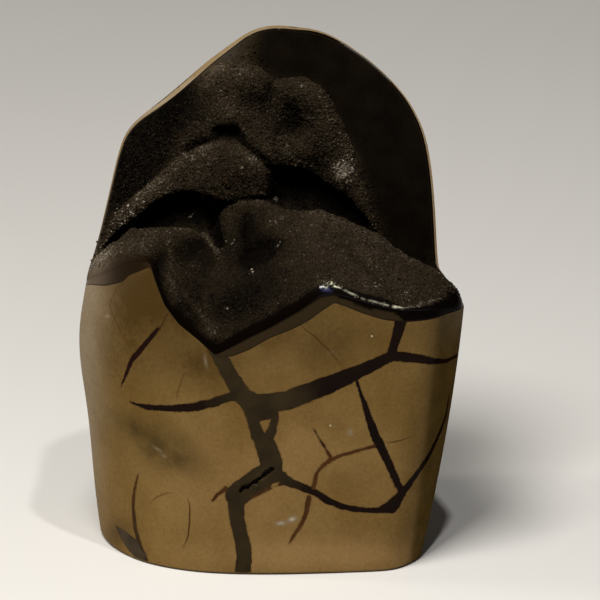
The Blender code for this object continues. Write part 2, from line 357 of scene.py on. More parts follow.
def swells(points, size, seed):
    """Value noise from -1 to 1: the random numbers of the eight corners round each point, blended with
    the weights t * t * (3 - 2 t) along each axis."""
    place = points / size
    corner = np.floor(place).astype(np.int64)
    share = place - corner
    share = share * share * (3 - 2 * share)
    total = 0.0
    for step in np.ndindex(2, 2, 2):
        weight = np.prod(np.where(np.array(step, bool), share, 1 - share), axis=-1)
        total = total + weight * random_of(corner + np.array(step), seed)
    return 2 * total - 1


def lumps(points, size, seed):
    """Cell noise from 0 to 1: 1 - (distance to the nearest lump's middle / size)^2, never below 0."""
    place = points / size
    cell = np.floor(place).astype(np.int64)
    nearest = np.full(points.shape[:-1], np.inf)
    for step in np.ndindex(3, 3, 3):
        there = cell + np.array(step) - 1
        middle = there + np.stack([random_of(there, seed + axis) for axis in range(3)], axis=-1)
        nearest = np.minimum(nearest, ((place - middle) ** 2).sum(axis=-1))
    return np.maximum(1 - nearest, 0.0)


along_x = np.outer(np.arange(5), [1.3 * MM, 0, 0])
print("swells at five places:", swells(along_x, 5 * MM, 31).round(2).tolist())
print("lumps at the same places:", lumps(along_x, 5 * MM, 41).round(2).tolist())

# %% [markdown]
# ## A skin of rings
#
# Both pieces are stacks of closed rings: every ring has one point in each direction, and the first and
# last ring shrink to a single point. Neighbouring rings are joined by triangles, along the shorter
# diagonal of each four-sided gap. The rings' columns stand closer together in front, where the veins
# show, because the veins' edges are stored on the points.

# %% Columns, rings and meshes
COLUMNS = 480
FINER_IN_FRONT = 2.7
FRONT_FACING = np.radians(268)
FRONT_SPREAD = np.radians(76)
FRONT_FADE = np.radians(6)
FINE_STEPS = 2881


def turned_away(angle, facing):
    """How far each direction is turned away from another, from 0 to half a turn."""
    return np.abs((angle - facing + np.pi) % (2 * np.pi) - np.pi)


def column_directions():
    """Directions at equal steps of the way round, which counts FINER_IN_FRONT times in front."""
    angle = np.linspace(0, 2 * np.pi, FINE_STEPS)
    ring = at(angle, outside_radius(angle, BELLY_HEIGHT), 0)
    steps = np.linalg.norm(np.diff(ring, axis=0), axis=-1)
    middle = (angle[1:] + angle[:-1]) / 2
    off_front = turned_away(middle, FRONT_FACING)
    steps = steps * (1 + (FINER_IN_FRONT - 1) * step_up(FRONT_SPREAD - off_front, FRONT_FADE))
    way = np.concatenate([[0], np.cumsum(steps)])
    return np.interp(np.arange(COLUMNS) / COLUMNS * way[-1], way, angle)


def even_radii(angle, edge_radius, surface, rings):
    """Radii that divide the way from the edge to the axis evenly along the surface, edge first."""
    share = np.linspace(1, 0, 240)[:, None]
    radius = share * edge_radius
    height = surface(angle + 0 * radius, radius)
    steps = np.hypot(np.diff(radius, axis=0), np.diff(height, axis=0))
    way = np.concatenate([np.zeros((1, len(angle))), np.cumsum(steps, axis=0)])
    wanted = np.linspace(0, 1, rings + 1)
    found = [np.interp(wanted * way[-1, i], way[:, i], radius[:, i]) for i in range(len(angle))]
    return np.array(found).T


def piece(name, points, faces):
    """A mesh object from an array of points and an array of triangles."""
    mesh = bpy.data.meshes.new(name)
    mesh.vertices.add(len(points))
    mesh.vertices.foreach_set("co", np.asarray(points, np.float32).ravel())
    mesh.loops.add(faces.size)
    mesh.loops.foreach_set("vertex_index", np.asarray(faces, np.int32).ravel())
    mesh.polygons.add(len(faces))
    mesh.polygons.foreach_set("loop_start", np.arange(0, faces.size, 3, dtype=np.int32))
    mesh.update(calc_edges=True)
    mesh.validate()
    made = bpy.data.objects.new(name, mesh)
    bpy.context.scene.collection.objects.link(made)
    return made


def ring_faces(rings):
    """Triangles of a closed skin from an array (rings, columns, 3), whose first and last ring are single
    points. Point numbers run ring by ring, with one number for each of the two end points."""
    count, columns = rings.shape[0] - 2, rings.shape[1]
    number = 1 + np.arange(count * columns).reshape(count, columns)
    low, high = number[:-1], number[1:]
    low_next, high_next = np.roll(low, -1, axis=1), np.roll(high, -1, axis=1)
    body = rings[1:-1]
    low_at, high_at = body[:-1], body[1:]
    one = np.linalg.norm(low_at - np.roll(high_at, -1, axis=1), axis=-1)
    other = np.linalg.norm(np.roll(low_at, -1, axis=1) - high_at, axis=-1)
    short = (one <= other)[..., None]
    first = np.where(short, np.stack([low, low_next, high_next], -1), np.stack([low, low_next, high], -1))
    second = np.where(short, np.stack([low, high_next, high], -1), np.stack([low_next, high_next, high], -1))
    last_point = count * columns + 1
    start_fan = np.stack([np.zeros(columns, int), np.roll(number[0], -1), number[0]], -1)
    end_fan = np.stack([np.full(columns, last_point), number[-1], np.roll(number[-1], -1)], -1)
    return np.concatenate([start_fan, first.reshape(-1, 3), second.reshape(-1, 3), end_fan])


def skin_points(rings):
    """The points of such a stack as one list, with its first and last ring as one point each."""
    return np.concatenate([rings[0, :1], rings[1:-1].reshape(-1, 3), rings[-1, :1]])


angle = column_directions()
print("columns:", len(angle), "widest step in mm:", round(float(np.diff(angle).max() * 55), 2))

# %% [markdown]
# ## The hidden bed
#
# The crust lies on the limestone, but nobody sees that joint. So the limestone is left a little deeper
# there than the real one, which gives the ledges room to overhang, and the crust's underside follows the
# same bed a hair higher.

# %% The bed under the crust
BED_RINGS = 22
BED_DEPTH = 15.0 * MM
BED_GAP = 0.3 * MM
STEEPEST = 2.8


def steepness(angle, radius):
    """How much longer the surface is than its shadow, sqrt(1 + slope^2), up to STEEPEST."""
    step = 0.6 * MM
    along = crust_top(angle, radius + step) - crust_top(angle, radius - step)
    sideways = step / np.maximum(radius, 6 * MM)
    across = crust_top(angle + sideways, radius) - crust_top(angle - sideways, radius)
    return np.minimum(np.sqrt(1 + (along**2 + across**2) / (2 * step) ** 2), STEEPEST)


def bed_height(angle, radius):
    """Height of the limestone under the crust: the crust's top less its depth, which grows from what
    the cut edge shows to BED_DEPTH * steepness within EDGE_REACH of the edge."""
    edge_radius, edge_z = rim_inner_edge(angle)
    at_edge = by_direction(STONE_EDGE, angle) + by_direction(CRUST_BAND, angle) - edge_z
    pull = fading(edge_radius - radius, EDGE_REACH)
    depth = BED_DEPTH * steepness(angle, radius) * (1 - pull) + at_edge * pull
    return crust_top(angle, radius) - depth


rim_radius, rim_z = rim_inner_edge(angle)
bed_radii = even_radii(angle, rim_radius, bed_height, BED_RINGS)
bed_rings = np.array([at(angle, radius, bed_height(angle, radius)) for radius in bed_radii])
bed_rings[-1] = bed_rings[-1].mean(axis=0)
print("bed: lowest", round(float(bed_rings[..., 2].min() / MM), 1), "mm above the floor")

# %% [markdown]
# ## The limestone's skin
#
# From the middle of the sawn base out to its ground corner, up the polished outside to the edge, over
# the bare rim and down along the bed. Two narrow ground corners, at the foot and at the top edge, give
# the light something to catch, as a real lapped edge does.

# %% Limestone rings
WALL_ROWS = 162
TOP_CORNER = 0.25 * MM

edge_z = by_direction(STONE_EDGE, angle)
foot = outside_radius(angle, BASE_CHAMFER)
stone_rings = [at(angle, 0 * angle, 0)]
for share in (0.5, 1.0):
    stone_rings.append(at(angle, share * (foot - BASE_CHAMFER), 0))
wall_first = len(stone_rings)
for z in np.linspace(BASE_CHAMFER, edge_z - TOP_CORNER, WALL_ROWS):
    stone_rings.append(at(angle, outside_radius(angle, z), z))
wall_last = len(stone_rings)
corner = np.minimum(TOP_CORNER, 0.5 * (outside_radius(angle, edge_z) - rim_radius))
stone_rings.append(at(angle, outside_radius(angle, edge_z) - corner, edge_z))
stone_rings = np.concatenate([np.array(stone_rings), bed_rings])
print("limestone: rings", len(stone_rings), "of", COLUMNS, "points")

# %% [markdown]
# ## The veins in front
#
# On the real stone the veins are calcite that fills the cracks, ground flush with the limestone: only
# their colour shows, so they are not raised. An image could paint them, but it would blur close up, and
# it could not be changed. Instead each vein is a line through a few places, with its width at each. The
# places are pixels of the photograph, and a little algebra puts them on the polished outside: the
# sideways place is known at once, and the depth is found by trying, because it changes the height.
# What is kept on each point of the skin is its distance from the nearest vein's edge, negative inside.

# %% Vein lines traced from the photograph
GREY = (0.0246, 0.0164, 0.0064)
BLACK = (0.0062, 0.0022, 0.0008)
DARK_RED = (0.0100, 0.0020, 0.0008)
UMBER = (0.055, 0.021, 0.0055)
SMOKE = (0.046, 0.032, 0.018)
# the colours of the vein's two ends, then (column, row, width) in pixels
VEINS = {
    "trunk top": (GREY, GREY, [(214, 345, 15), (232, 378, 16), (245, 398, 18), (250, 402, 20)]),
    "branch to the right": (GREY, GREY, [(250, 402, 18), (269, 403, 21), (288, 400, 20), (296, 397, 20)]),
    "branch, where it darkens": (GREY, BLACK, [(292, 398, 20), (306, 393, 20), (324, 386, 19)]),
    "branch, far part": (BLACK, BLACK, [
        (318, 389, 19), (328, 385, 19), (355, 373, 15), (381, 361, 11.5), (391, 356, 11),
    ]),
    "fork up": (BLACK, BLACK, [(391, 356, 10), (393, 346, 9), (398, 332, 11), (401, 317, 14)]),
    "fork right": (BLACK, BLACK, [
        (391, 356, 11), (402, 356.5, 10.5), (416, 358, 9.5), (432, 361, 6.7), (446, 361, 4),
        (458, 355, 3),
    ]),
    "branch to the left": (BLACK, BLACK, [
        (204, 404.8, 9), (189, 407.5, 8.3), (167, 408, 6.5), (148, 407, 5.5), (139, 405, 3.5),
        (131, 402, 1.5),
    ]),
    "root of the left branch": (GREY, BLACK, [
        (247, 394, 10), (231, 396.5, 9.4), (210, 403.5, 9), (198, 406, 8.6),
    ]),
    "trunk, middle": (GREY, GREY, [
        (250, 400, 19), (254, 420, 13), (258, 433, 16), (263, 437.5, 19.5), (268, 451, 21),
        (271.6, 464, 22.5), (270, 472, 24), (252, 484, 25), (237, 495, 24),
    ]),
    "trunk, foot": (GREY, GREY, [
        (237, 495, 22), (236.5, 507, 16.6), (237, 518, 14.7), (240, 531, 14), (243, 545, 15),
        (244, 558, 15), (243, 574, 17),
    ]),
    "round the island": (GREY, GREY, [(268, 406, 20), (269, 418, 20), (268, 428, 18), (266, 438, 16)]),
    "below the sliver": (GREY, UMBER, [(289, 480, 8), (275, 484, 5.5), (262, 491, 5), (252, 497, 4)]),
    "spur": (UMBER, UMBER, [(226, 488, 5), (219, 493, 3.5), (213, 500, 1.8)]),
    "right foot": (GREY, BLACK, [(282, 476, 11), (288, 482, 9), (301, 486, 8), (310, 490, 7.4)]),
    "right foot, far part": (BLACK, BLACK, [
        (308, 489, 7.4), (314.5, 492, 7), (328, 500.5, 7), (341, 506, 6.5), (355, 509, 6),
        (368, 510, 5.2), (381, 510, 6.5), (392, 509, 10),
    ]),
    "node below right": (BLACK, BLACK, [
        (379, 510, 6), (386, 508, 10), (392, 506, 14.5), (397, 500, 12), (402, 492, 8),
    ]),
    "arc up the right": (BLACK, BLACK, [
        (403, 492, 8), (416, 475, 7.5), (430, 454, 6.5), (440, 432, 5.5), (446, 416, 4.5), (449, 396, 2),
    ]),
    "long crack": (BLACK, BLACK, [
        (403, 494, 7), (398, 484, 7), (392, 472, 7.5), (385.5, 456, 8.5), (376, 437.5, 9.5),
        (368, 416, 7), (363, 400, 4.4), (356, 380, 2.4),
    ]),
    "brown cross": (UMBER, UMBER, [
        (374, 446, 4), (355, 451, 3.4), (341, 455, 3), (332, 459, 4), (324, 464, 3.2), (317, 472, 3.4),
        (314.5, 483, 4), (312, 490, 4),
    ]),
    "brown tail": (UMBER, UMBER, [
        (309, 497, 5), (307, 505, 5.5), (306.5, 512.5, 5), (303, 521, 4.4), (298, 529, 3.6),
        (293, 537, 2.6), (289, 543, 1.4),
    ]),
    "brown twig": (UMBER, BLACK, [(332, 459, 3), (327, 451, 2.2), (321, 441, 1.8), (313, 428, 1.2)]),
    "left crack": (UMBER, DARK_RED, [(171, 308, 0.8), (162, 326, 2), (158, 330, 3)]),
    "left crack, far part": (DARK_RED, DARK_RED, [
        (159, 328, 3), (151, 338, 4.4), (140, 350.5, 6), (132, 360, 5), (128, 370.5, 3.4),
        (121, 387, 1.6),
    ]),
    "foot of the left": (UMBER, GREY, [
        (138, 475, 1.8), (134, 491, 3), (133, 507, 4), (135, 529, 5.2), (140, 547, 6), (147, 564, 6.5),
    ]),
    "patch at the left foot": (SMOKE, SMOKE, [
        (116, 528, 3), (122, 535, 13), (132, 546, 20), (141, 556, 15),
    ]),
}
# limestone left standing inside the veins: (column, row) corners
ISLANDS = {
    "island": [(259, 421), (272.5, 417.8), (265, 434)],
    "sliver": [(266, 489), (274, 483.5), (284, 480), (276, 485)],
}
VEIN_STEP = 1.2 * MM


def seen_on_stone(column, row):
    """The place on the polished outside behind a pixel. x is known; y starts at the foot's, and then
    z = (height - sin(down) * (y - foot)) / cos(down) and y = -sqrt(radius^2 - x^2) take turns."""
    x = (np.asarray(column, float) - AXIS_COLUMN) * PIXEL
    height = (FOOT_ROW - np.asarray(row, float)) * PIXEL
    y = np.full(x.shape, FOOT_Y)
    for _ in range(24):
        z = (height - np.sin(LOOKING_DOWN) * (y - FOOT_Y)) / np.cos(LOOKING_DOWN)
        radius = outside_radius(np.arctan2(y, x), z)
        y = 0.5 * y - 0.5 * np.sqrt(np.maximum(radius**2 - x**2, 0))
    return np.stack([x, y, z], axis=-1)


def in_picture(points):
    """(column, row) of the pixel in front of each point, the other way round from seen_on_stone."""
    height = points[..., 2] * np.cos(LOOKING_DOWN) + (points[..., 1] - FOOT_Y) * np.sin(LOOKING_DOWN)
    return AXIS_COLUMN + points[..., 0] / PIXEL, FOOT_ROW - height / PIXEL


def fine_line(places, widths):
    """A line through the places with a point about every VEIN_STEP, and the width at each point."""
    way = np.concatenate([[0], np.cumsum(np.linalg.norm(np.diff(places, axis=0), axis=-1))])
    wanted = np.linspace(0, way[-1], max(2, int(way[-1] / VEIN_STEP) + 1))
    line = np.stack([np.interp(wanted, way, places[:, axis]) for axis in range(3)], axis=-1)
    return line, np.interp(wanted, way, widths)


def traced(pixels):
    """The fine line of one traced vein, on the stone, with its widths in metres."""
    column, row, width = np.array(pixels, float).T
    many = np.linspace(0, 1, 8 * len(column))
    old = np.linspace(0, 1, len(column))
    column, row, width = (np.interp(many, old, value) for value in (column, row, width))
    return fine_line(seen_on_stone(column, row), width * PIXEL)


def distance_to_line(points, line):
    """(distance, place along the line) from each point to the nearest run of the line."""
    best = np.full(len(points), np.inf)
    place = np.zeros(len(points))
    for number, (start, end) in enumerate(zip(line[:-1], line[1:])):
        run = end - start
        share = np.clip((points - start) @ run / max(run @ run, 1e-18), 0, 1)
        distance = np.linalg.norm(points - start - share[:, None] * run, axis=-1)
        place = np.where(distance < best, number + share, place)
        best = np.minimum(best, distance)
    return best, place


stone_points = skin_points(stone_rings)
wall_slice = slice(1 + (wall_first - 1) * COLUMNS, 1 + wall_last * COLUMNS)
wall_points = stone_points[wall_slice]
vein_edge = np.full(len(wall_points), 50 * MM)
vein_colour = np.tile(np.array(GREY), (len(wall_points), 1))


def lay_vein(line, width, colour, end_colour):
    """Keeps, at each point of the outside, the distance to the nearest vein's edge and its colour, which
    goes from one end's to the other's along the line."""
    low, high = line.min(axis=0) - 8 * MM, line.max(axis=0) + 8 * MM
    near = np.where(((wall_points > low) & (wall_points < high)).all(axis=-1))[0]
    distance, place = distance_to_line(wall_points[near], line)
    edge = distance - 0.5 * np.interp(place, np.arange(len(width)), width)
    closer = edge < vein_edge[near]
    vein_edge[near[closer]] = edge[closer]
    along = (place / (len(line) - 1))[closer, None]
    vein_colour[near[closer]] = (1 - along) * np.array(colour) + along * np.array(end_colour)


for colour, end_colour, pixels in VEINS.values():
    lay_vein(*traced(pixels), colour, end_colour)
print("veins in front:", len(VEINS), "points inside them:", int((vein_edge < 0).sum()))

# %% [markdown]
# ## Islands and side veins
#
# Two slivers of limestone stand inside the veins. Each is a small polygon on the face, and the distance
# to its outline is taken away again. Round the sides nothing is traced: the photograph ends there. A few
# veins that leave the front go on as listed, and beyond them the cracks are a network like the real one,
# the walls between cells that grew round scattered centres.

# %% Islands, side veins and the network behind
# colour, then (direction in degrees, height in mm, width in mm)
SIDE_VEINS = {
    "fork right, round the side": (BLACK, [
        (343, 61, 1.4), (350, 62, 2.2), (2, 58, 3.0), (14, 61, 3.4), (27, 55, 2.6), (38, 57, 1.2),
    ]),
    "from the side up": (BLACK, [(14, 61, 3.0), (19, 74, 2.2), (17, 90, 1.6), (21, 108, 0.8)]),
    "from the side down": (BLACK, [(2, 58, 2.4), (358, 40, 2.0), (4, 22, 1.4), (1, 1, 2.0)]),
    "arc, round the side": (BLACK, [(341, 52, 0.8), (346, 56, 1.0), (351, 61, 0.8)]),
    "left side": (BLACK, [(176, 64, 0.5), (175, 52, 1.6), (176, 40, 2.8), (179, 22, 2.0), (174, 1, 2.6)]),
    "left side, across": (BLACK, [
        (176, 40, 2.6), (170, 46, 2.2), (163, 43, 3.0), (152, 50, 2.0), (144, 49, 1.0),
    ]),
}
CELL_SIZE = 40 * MM
NETWORK_WIDEST = 1.5 * MM
NETWORK_THINNEST = 0.3 * MM
NETWORK_BEND = 2.2 * MM
NETWORK_SEED = 7
# the network keeps off the front, up to this far from where it faces
TRACED_REACH = np.radians(98)


def polygon_depth(points, corners):
    """How far each point lies inside a polygon on the stone, negative outside: the least distance to
    the lines through its sides, which run anticlockwise seen from outside."""
    middle = corners.mean(axis=0)
    outward = np.array([middle[0], middle[1], 0]) / np.hypot(middle[0], middle[1])
    depth = np.full(len(points), np.inf)
    for start, end in zip(corners, np.roll(corners, -1, axis=0)):
        inward = np.cross(outward, end - start)
        inward = inward / np.linalg.norm(inward)
        if (middle - start) @ inward < 0:
            inward = -inward
        depth = np.minimum(depth, (points - start) @ inward)
    return np.where(np.linalg.norm(points - middle, axis=-1) < 12 * MM, depth, -50 * MM)


def crack_network(points):
    """Distance to the walls between cells, less half their width. The wall between two centres is
    (far distance^2 - near distance^2) / (2 * the centres' spacing) away. Broad and fine swells make it
    thicker and thinner along the way, and where it would be thinner than NETWORK_THINNEST it ends."""
    grid = np.array(list(np.ndindex(5, 5, 6))) - np.array([2, 2, 0])
    jitter = np.stack([random_of(grid, NETWORK_SEED + axis) for axis in range(3)], axis=-1)
    centres = (grid + jitter - 0.5) * CELL_SIZE
    square = ((points[:, None] - centres[None]) ** 2).sum(axis=-1)
    order = np.argsort(square, axis=1)[:, :2]
    near, far = (np.take_along_axis(square, order[:, i : i + 1], axis=1)[:, 0] for i in (0, 1))
    spacing = np.linalg.norm(centres[order[:, 0]] - centres[order[:, 1]], axis=-1)
    half = 0.5 + 0.75 * swells(points, 34 * MM, NETWORK_SEED) + 0.3 * swells(points, 9 * MM, NETWORK_SEED + 1)
    half = NETWORK_WIDEST * half
    half = np.where(half < NETWORK_THINNEST, -20 * MM, half)
    return (far - near) / (2 * spacing) - half


for corners in ISLANDS.values():
    column, row = np.array(corners, float).T
    vein_edge = np.maximum(vein_edge, polygon_depth(wall_points, seen_on_stone(column, row)))
for colour, places in SIDE_VEINS.values():
    degrees, height, width = np.array(places, float).T
    degrees = np.unwrap(np.radians(degrees))
    many, old = np.linspace(0, 1, 10 * len(degrees)), np.linspace(0, 1, len(degrees))
    degrees, height, width = (np.interp(many, old, value) for value in (degrees, height * MM, width * MM))
    lay_vein(*fine_line(at(degrees, outside_radius(degrees, height), height), width), colour, colour)

wall_angle = np.arctan2(wall_points[:, 1], wall_points[:, 0])
off_front = turned_away(wall_angle, FRONT_FACING)
kept_clear = 6 * MM * step_up(TRACED_REACH - off_front, np.radians(4))
network = crack_network(wall_points + NETWORK_BEND * swells(wall_points, 9 * MM, 3)[:, None]) + kept_clear
vein_colour[network < vein_edge] = BLACK
vein_edge = np.minimum(vein_edge, network)
vein_share = round(float((vein_edge < 0).mean()), 3)
print("islands:", len(ISLANDS), "side veins:", len(SIDE_VEINS), "share of the outside in veins:", vein_share)

# %% [markdown]
# ## Hairlines
#
# Some cracks are thinner than the skin's own triangles, and a distance that is never negative would
# break them into dots. The trick is to keep the distance with a sign, plus on one side and minus on the
# other: between two points it passes through nought exactly on the crack, however thin that is.

# %% Hairlines
# strength from 0 to 1, then (column, row) in pixels
HAIRLINES = {
    "right of the middle": (0.75, [
        (299, 322), (306, 330), (314.5, 336), (322, 344), (328, 349), (336, 359), (343, 367),
    ]),
    "left edge": (0.5, [
        (126, 281), (118, 288), (112, 298), (110, 306), (113, 314), (118, 325), (122, 333), (128, 343),
        (131, 350),
    ]),
    "below the left branch": (0.45, [(187, 369), (183, 377), (179, 389), (177, 396), (178, 402)]),
    "lower left": (1.0, [
        (187, 496.5), (189.5, 503), (190, 512), (189.5, 522), (189, 529), (188, 536), (186, 542),
        (181, 551),
    ]),
    "lower left arc": (0.55, [(149, 505), (154, 499), (160, 495.5), (167, 493), (177, 492)]),
    "right of the long crack": (0.8, [(384, 443), (392, 442), (401, 440), (414, 436)]),
    "under the left lip": (0.35, [(150, 276), (143, 284), (137, 296)]),
}
hair_side = np.full(len(wall_points), 9 * MM)
hair_off = np.full(len(wall_points), 9 * MM)
hair_strength = np.zeros(len(wall_points))
for strength, pixels in HAIRLINES.values():
    column, row = np.array(pixels, float).T
    line, taper = traced(np.stack([column, row, 1 - np.abs(np.linspace(-1, 1, len(column))) ** 3], axis=-1))
    near = np.where(np.linalg.norm(wall_points - line.mean(axis=0), axis=-1) < 30 * MM)[0]
    distance, place = distance_to_line(wall_points[near], line)
    number = np.minimum(place.astype(int), len(line) - 2)
    run = line[number + 1] - line[number]
    outward = wall_points[near] * np.array([1, 1, 0])
    side = np.sign((np.cross(run, wall_points[near] - line[number]) * outward).sum(axis=-1))
    closer = distance < hair_off[near]
    hair_side[near[closer]] = (distance * side)[closer]
    hair_off[near[closer]] = distance[closer]
    hair_strength[near[closer]] = (strength * np.interp(place, np.arange(len(line)), taper) / PIXEL)[closer]
print("hairlines:", len(HAIRLINES), "strongest:", round(float(hair_strength.max()), 2))

# %% [markdown]
# ## Stains
#
# The limestone is not one tan. Iron and mud have stained it: olive smudges on the left, a warmer and
# paler middle and a brown left shoulder. It is also darker towards the right edge, and pinker and paler
# towards the foot. Each stain is a soft oval on the face, and three kinds of stain are kept apart, so that
# the finish can give each its own colour. The right bevel, turned away from the light, is painted darker
# and more olive: painted shade. A pale painted sheen runs down the left side and below the dome's rim,
# and a few real pale chips are added to it.

# %% Stains
# kind, then (column, row, half width, half height, lean in degrees, strength) in pixels
STAINS = [
    ("olive", 152, 441, 38, 14, -36, 0.42), ("olive", 174, 460, 32, 13, -12, 0.38),
    ("olive", 128, 424, 26, 10, -30, 0.35), ("olive", 178, 436, 24, 9, -40, 0.35),
    ("olive", 160, 446, 60, 34, -25, 0.3), ("olive", 376, 432, 16, 10, 0, 0.2),
    ("olive", 330, 345, 26, 22, 0, 0.35), ("olive", 348, 478, 30, 18, 0, 0.2),
    ("dark", 250, 290, 190, 85, 0, 1.08), ("dark", 150, 310, 50, 50, 10, 0.6),
    ("dark", 128, 350, 30, 50, 0, 0.25), ("dark", 385, 535, 60, 22, 0, 0.25),
    ("dark", 190, 365, 46, 30, 0, 0.5), ("dark", 330, 420, 40, 16, 0, 0.1),
    ("dark", 120, 500, 30, 40, 0, 0.15), ("dark", 412, 470, 20, 90, 0, 0.25),
    ("dark", 117, 534, 15, 15, 0, 0.8), ("pink", 215, 470, 50, 60, 0, 0.6),
    ("pink", 300, 440, 40, 40, 0, 0.5), ("pink", 350, 470, 60, 30, 0, 0.3),
    ("pink", 300, 350, 60, 24, 0, 0.45), ("pink", 300, 556, 130, 16, 0, 0.8),
    ("pink", 110, 520, 14, 34, 0, 0.3), ("pink", 275, 535, 60, 40, 0, 0.4),
    ("pink", 374, 553, 60, 14, 0, 0.7),
]
# column, row, half width, half height, lean, strength of small pale scratches and chips
CHIPS = [
    (292, 519, 4, 2.2, 20, 2.2), (281, 523, 5, 1.8, 5, 1.8), (350, 432, 2.5, 3.5, 20, 0.8),
    (206, 361, 1.4, 6, 10, 0.7), (158, 449, 5, 1.1, -30, 0.6), (164, 456, 3, 1, -30, 0.5),
    (108, 316, 2, 1.4, 0, 0.7), (331, 352, 2, 1.2, 0, 0.5),
]
SHEEN_DEPTH = 9 * MM
# the sharp edge of the right bevel, (column, row), right of which the stone is painted dark: painted shade
BEVEL_EDGE = [(441, 300), (438, 320), (428, 410), (414, 540), (408, 575)]


def soft_oval(column, row, middle_column, middle_row, half_width, half_height, lean=0):
    """exp(-d^2), where d is 1 on an oval with these half sizes in pixels, leaning upwards to the right
    by this many degrees."""
    across, upward = column - middle_column, middle_row - row
    cos_lean, sin_lean = np.cos(np.radians(lean)), np.sin(np.radians(lean))
    d = ((across * cos_lean + upward * sin_lean) / half_width) ** 2
    return np.exp(-d - ((upward * cos_lean - across * sin_lean) / half_height) ** 2)


column, row = in_picture(wall_points)
# the photograph shows only the front, so its stains fade out towards the back, along a wavy line
in_front = step_up(8 * MM + 6 * MM * swells(wall_points, 16 * MM, 12) - wall_points[:, 1], 4 * MM)
stain = {kind: np.zeros(len(wall_points)) for kind in ("olive", "dark", "pink")}
for kind, *oval, strength in STAINS:
    stain[kind] = stain[kind] + strength * soft_oval(column, row, *oval) * in_front
bevel_columns, bevel_rows = np.array(BEVEL_EDGE, float).T
right_of_bevel = column - np.interp(row, bevel_rows, bevel_columns)
on_bevel = step_up(right_of_bevel, 1.6) * (wall_points[:, 1] < 20 * MM)
# painted shade: the bevel turned away from the light is darkened and made more olive
stain["dark"] = stain["dark"] + 0.5 * on_bevel
stain["olive"] = stain["olive"] + 0.85 * on_bevel
# painted sheen: a pale band down the left side where the polish mirrors a light, and a band below the rim;
sheen_and_chips = 0.95 * soft_oval(column, row, 83, 380, 20, 170) * in_front
# the chips added to it are real pale marks
for *oval, strength in CHIPS:
    sheen_and_chips = sheen_and_chips + strength * soft_oval(column, row, *oval) * (wall_points[:, 1] < 0)
below_rim = by_direction(STONE_EDGE, wall_angle) - wall_points[:, 2]
sheen_and_chips = sheen_and_chips + 0.45 * fading(below_rim, SHEEN_DEPTH) * step_up(off_front - np.radians(62), 0.1)
round_back = step_up(off_front - np.radians(80), np.radians(10))
stain["dark"] = stain["dark"] + round_back * (0.25 + 0.35 * swells(wall_points, 30 * MM, 11))
strongest = {kind: round(float(value.max()), 2) for kind, value in stain.items()}
print("stains:", len(STAINS), "strongest:", strongest)

# %% [markdown]
# ## A slit in the vein
#
# The trunk vein was never quite filled at its elbow: a ragged slit is open there, a millimetre or two
# deep. It is a real hole, so its points are pushed in. The depth follows the distance to the slit's line.

# %% The open slit, and the limestone piece
SLIT = [
    (272, 469, 3), (267, 472, 4), (261, 477, 1.5), (254, 482, 2.5), (247, 487, 3), (241, 491, 3.5),
    (237, 495, 2),
]
SLIT_DEPTH = 1.3 * MM
SLIT_SOFTNESS = 0.35 / 3 * MM
SLIT_REACH = 2 * MM

line, width = traced(SLIT)
distance, place = distance_to_line(wall_points, line)
ragged = 0.95 * MM * swells(wall_points, 1.3 * MM, 21)
inside = 0.5 * np.interp(place, np.arange(len(width)), width) - distance + ragged
sunk = SLIT_DEPTH * step_up(inside, SLIT_SOFTNESS) * (inside > -SLIT_REACH)
outward = wall_points * np.array([1, 1, 0])
outward = outward / np.linalg.norm(outward, axis=-1, keepdims=True)
stone_points[wall_slice] = wall_points - outward * sunk[:, None]
limestone = piece("limestone", stone_points, ring_faces(stone_rings))


def keep_on_points(thing, name, values, kind):
    """Stores one value, or one colour or vector, on each point of a mesh."""
    layer = thing.data.attributes.new(name, kind, "POINT")
    field = {"FLOAT": "value", "FLOAT_VECTOR": "vector", "FLOAT_COLOR": "color"}[kind]
    layer.data.foreach_set(field, np.asarray(values, np.float32).ravel())


def on_all_points(values, elsewhere):
    """Values of the outside's points, spread to every point of the limestone, with one value elsewhere."""
    values = np.asarray(values, float)
    full = np.full((len(stone_points),) + values.shape[1:], elsewhere, float)
    full[wall_slice] = values
    return full


# how much of the thin, clear coat the polish gives the outside, and the bare rim and the base
WAX = 0.095
WAX_ON_RIM = 0.05

vein_colours = np.column_stack([vein_colour, np.ones(len(vein_edge))])
hairs = np.column_stack([hair_side / MM, hair_off / MM, hair_strength])
stains = np.column_stack([stain["olive"], stain["dark"], stain["pink"]])
keep_on_points(limestone, "vein_edge", on_all_points(vein_edge / MM, 5.0), "FLOAT")
keep_on_points(limestone, "vein_colour", on_all_points(vein_colours, 0.02), "FLOAT_COLOR")
keep_on_points(limestone, "hairline", on_all_points(hairs, 9.0), "FLOAT_VECTOR")
keep_on_points(limestone, "stain", on_all_points(stains, 0.15), "FLOAT_VECTOR")
keep_on_points(limestone, "sheen_and_chips", on_all_points(sheen_and_chips, 0.65), "FLOAT")
keep_on_points(limestone, "wax", on_all_points(WAX * (1 - 0.9 * on_bevel), WAX_ON_RIM), "FLOAT")
keep_on_points(limestone, "slit", on_all_points(sunk / SLIT_DEPTH, 0.0), "FLOAT")
limestone.data.shade_smooth()
limestone.data.set_sharp_from_angle(angle=np.radians(35))
print("limestone:", len(limestone.data.polygons), "triangles")

# %% [markdown]
# ## The crust
#
# The crust's cut edge is ground and polished with the outside, then rolls over into the hollow as a
# quarter circle. Past that its surface is the landscape above, made rough: soft swells on the broad
# front slope, round lumps on the ridges, almost nothing on the glossy wall behind. The bumps push the
# surface along its own normal, so they show on steep flanks too. Last, the feet of the two upper ridges
# are pulled back under them, because the real ledges overhang.

# %% Crust rings
BAND_ROWS = 5
ROLL_ROWS = 9
TOP_ROWS = 138
ROLL_LARGEST = 1.7 * MM
SEAM = 0.03 * MM


def window(angle, first, last, fade=6):
    """1 between two directions in degrees and 0 outside, with soft ends."""
    middle = np.radians((first + last) / 2)
    half = np.radians((last - first) / 2)
    return step_up(half - turned_away(angle, middle), np.radians(fade) / 3)


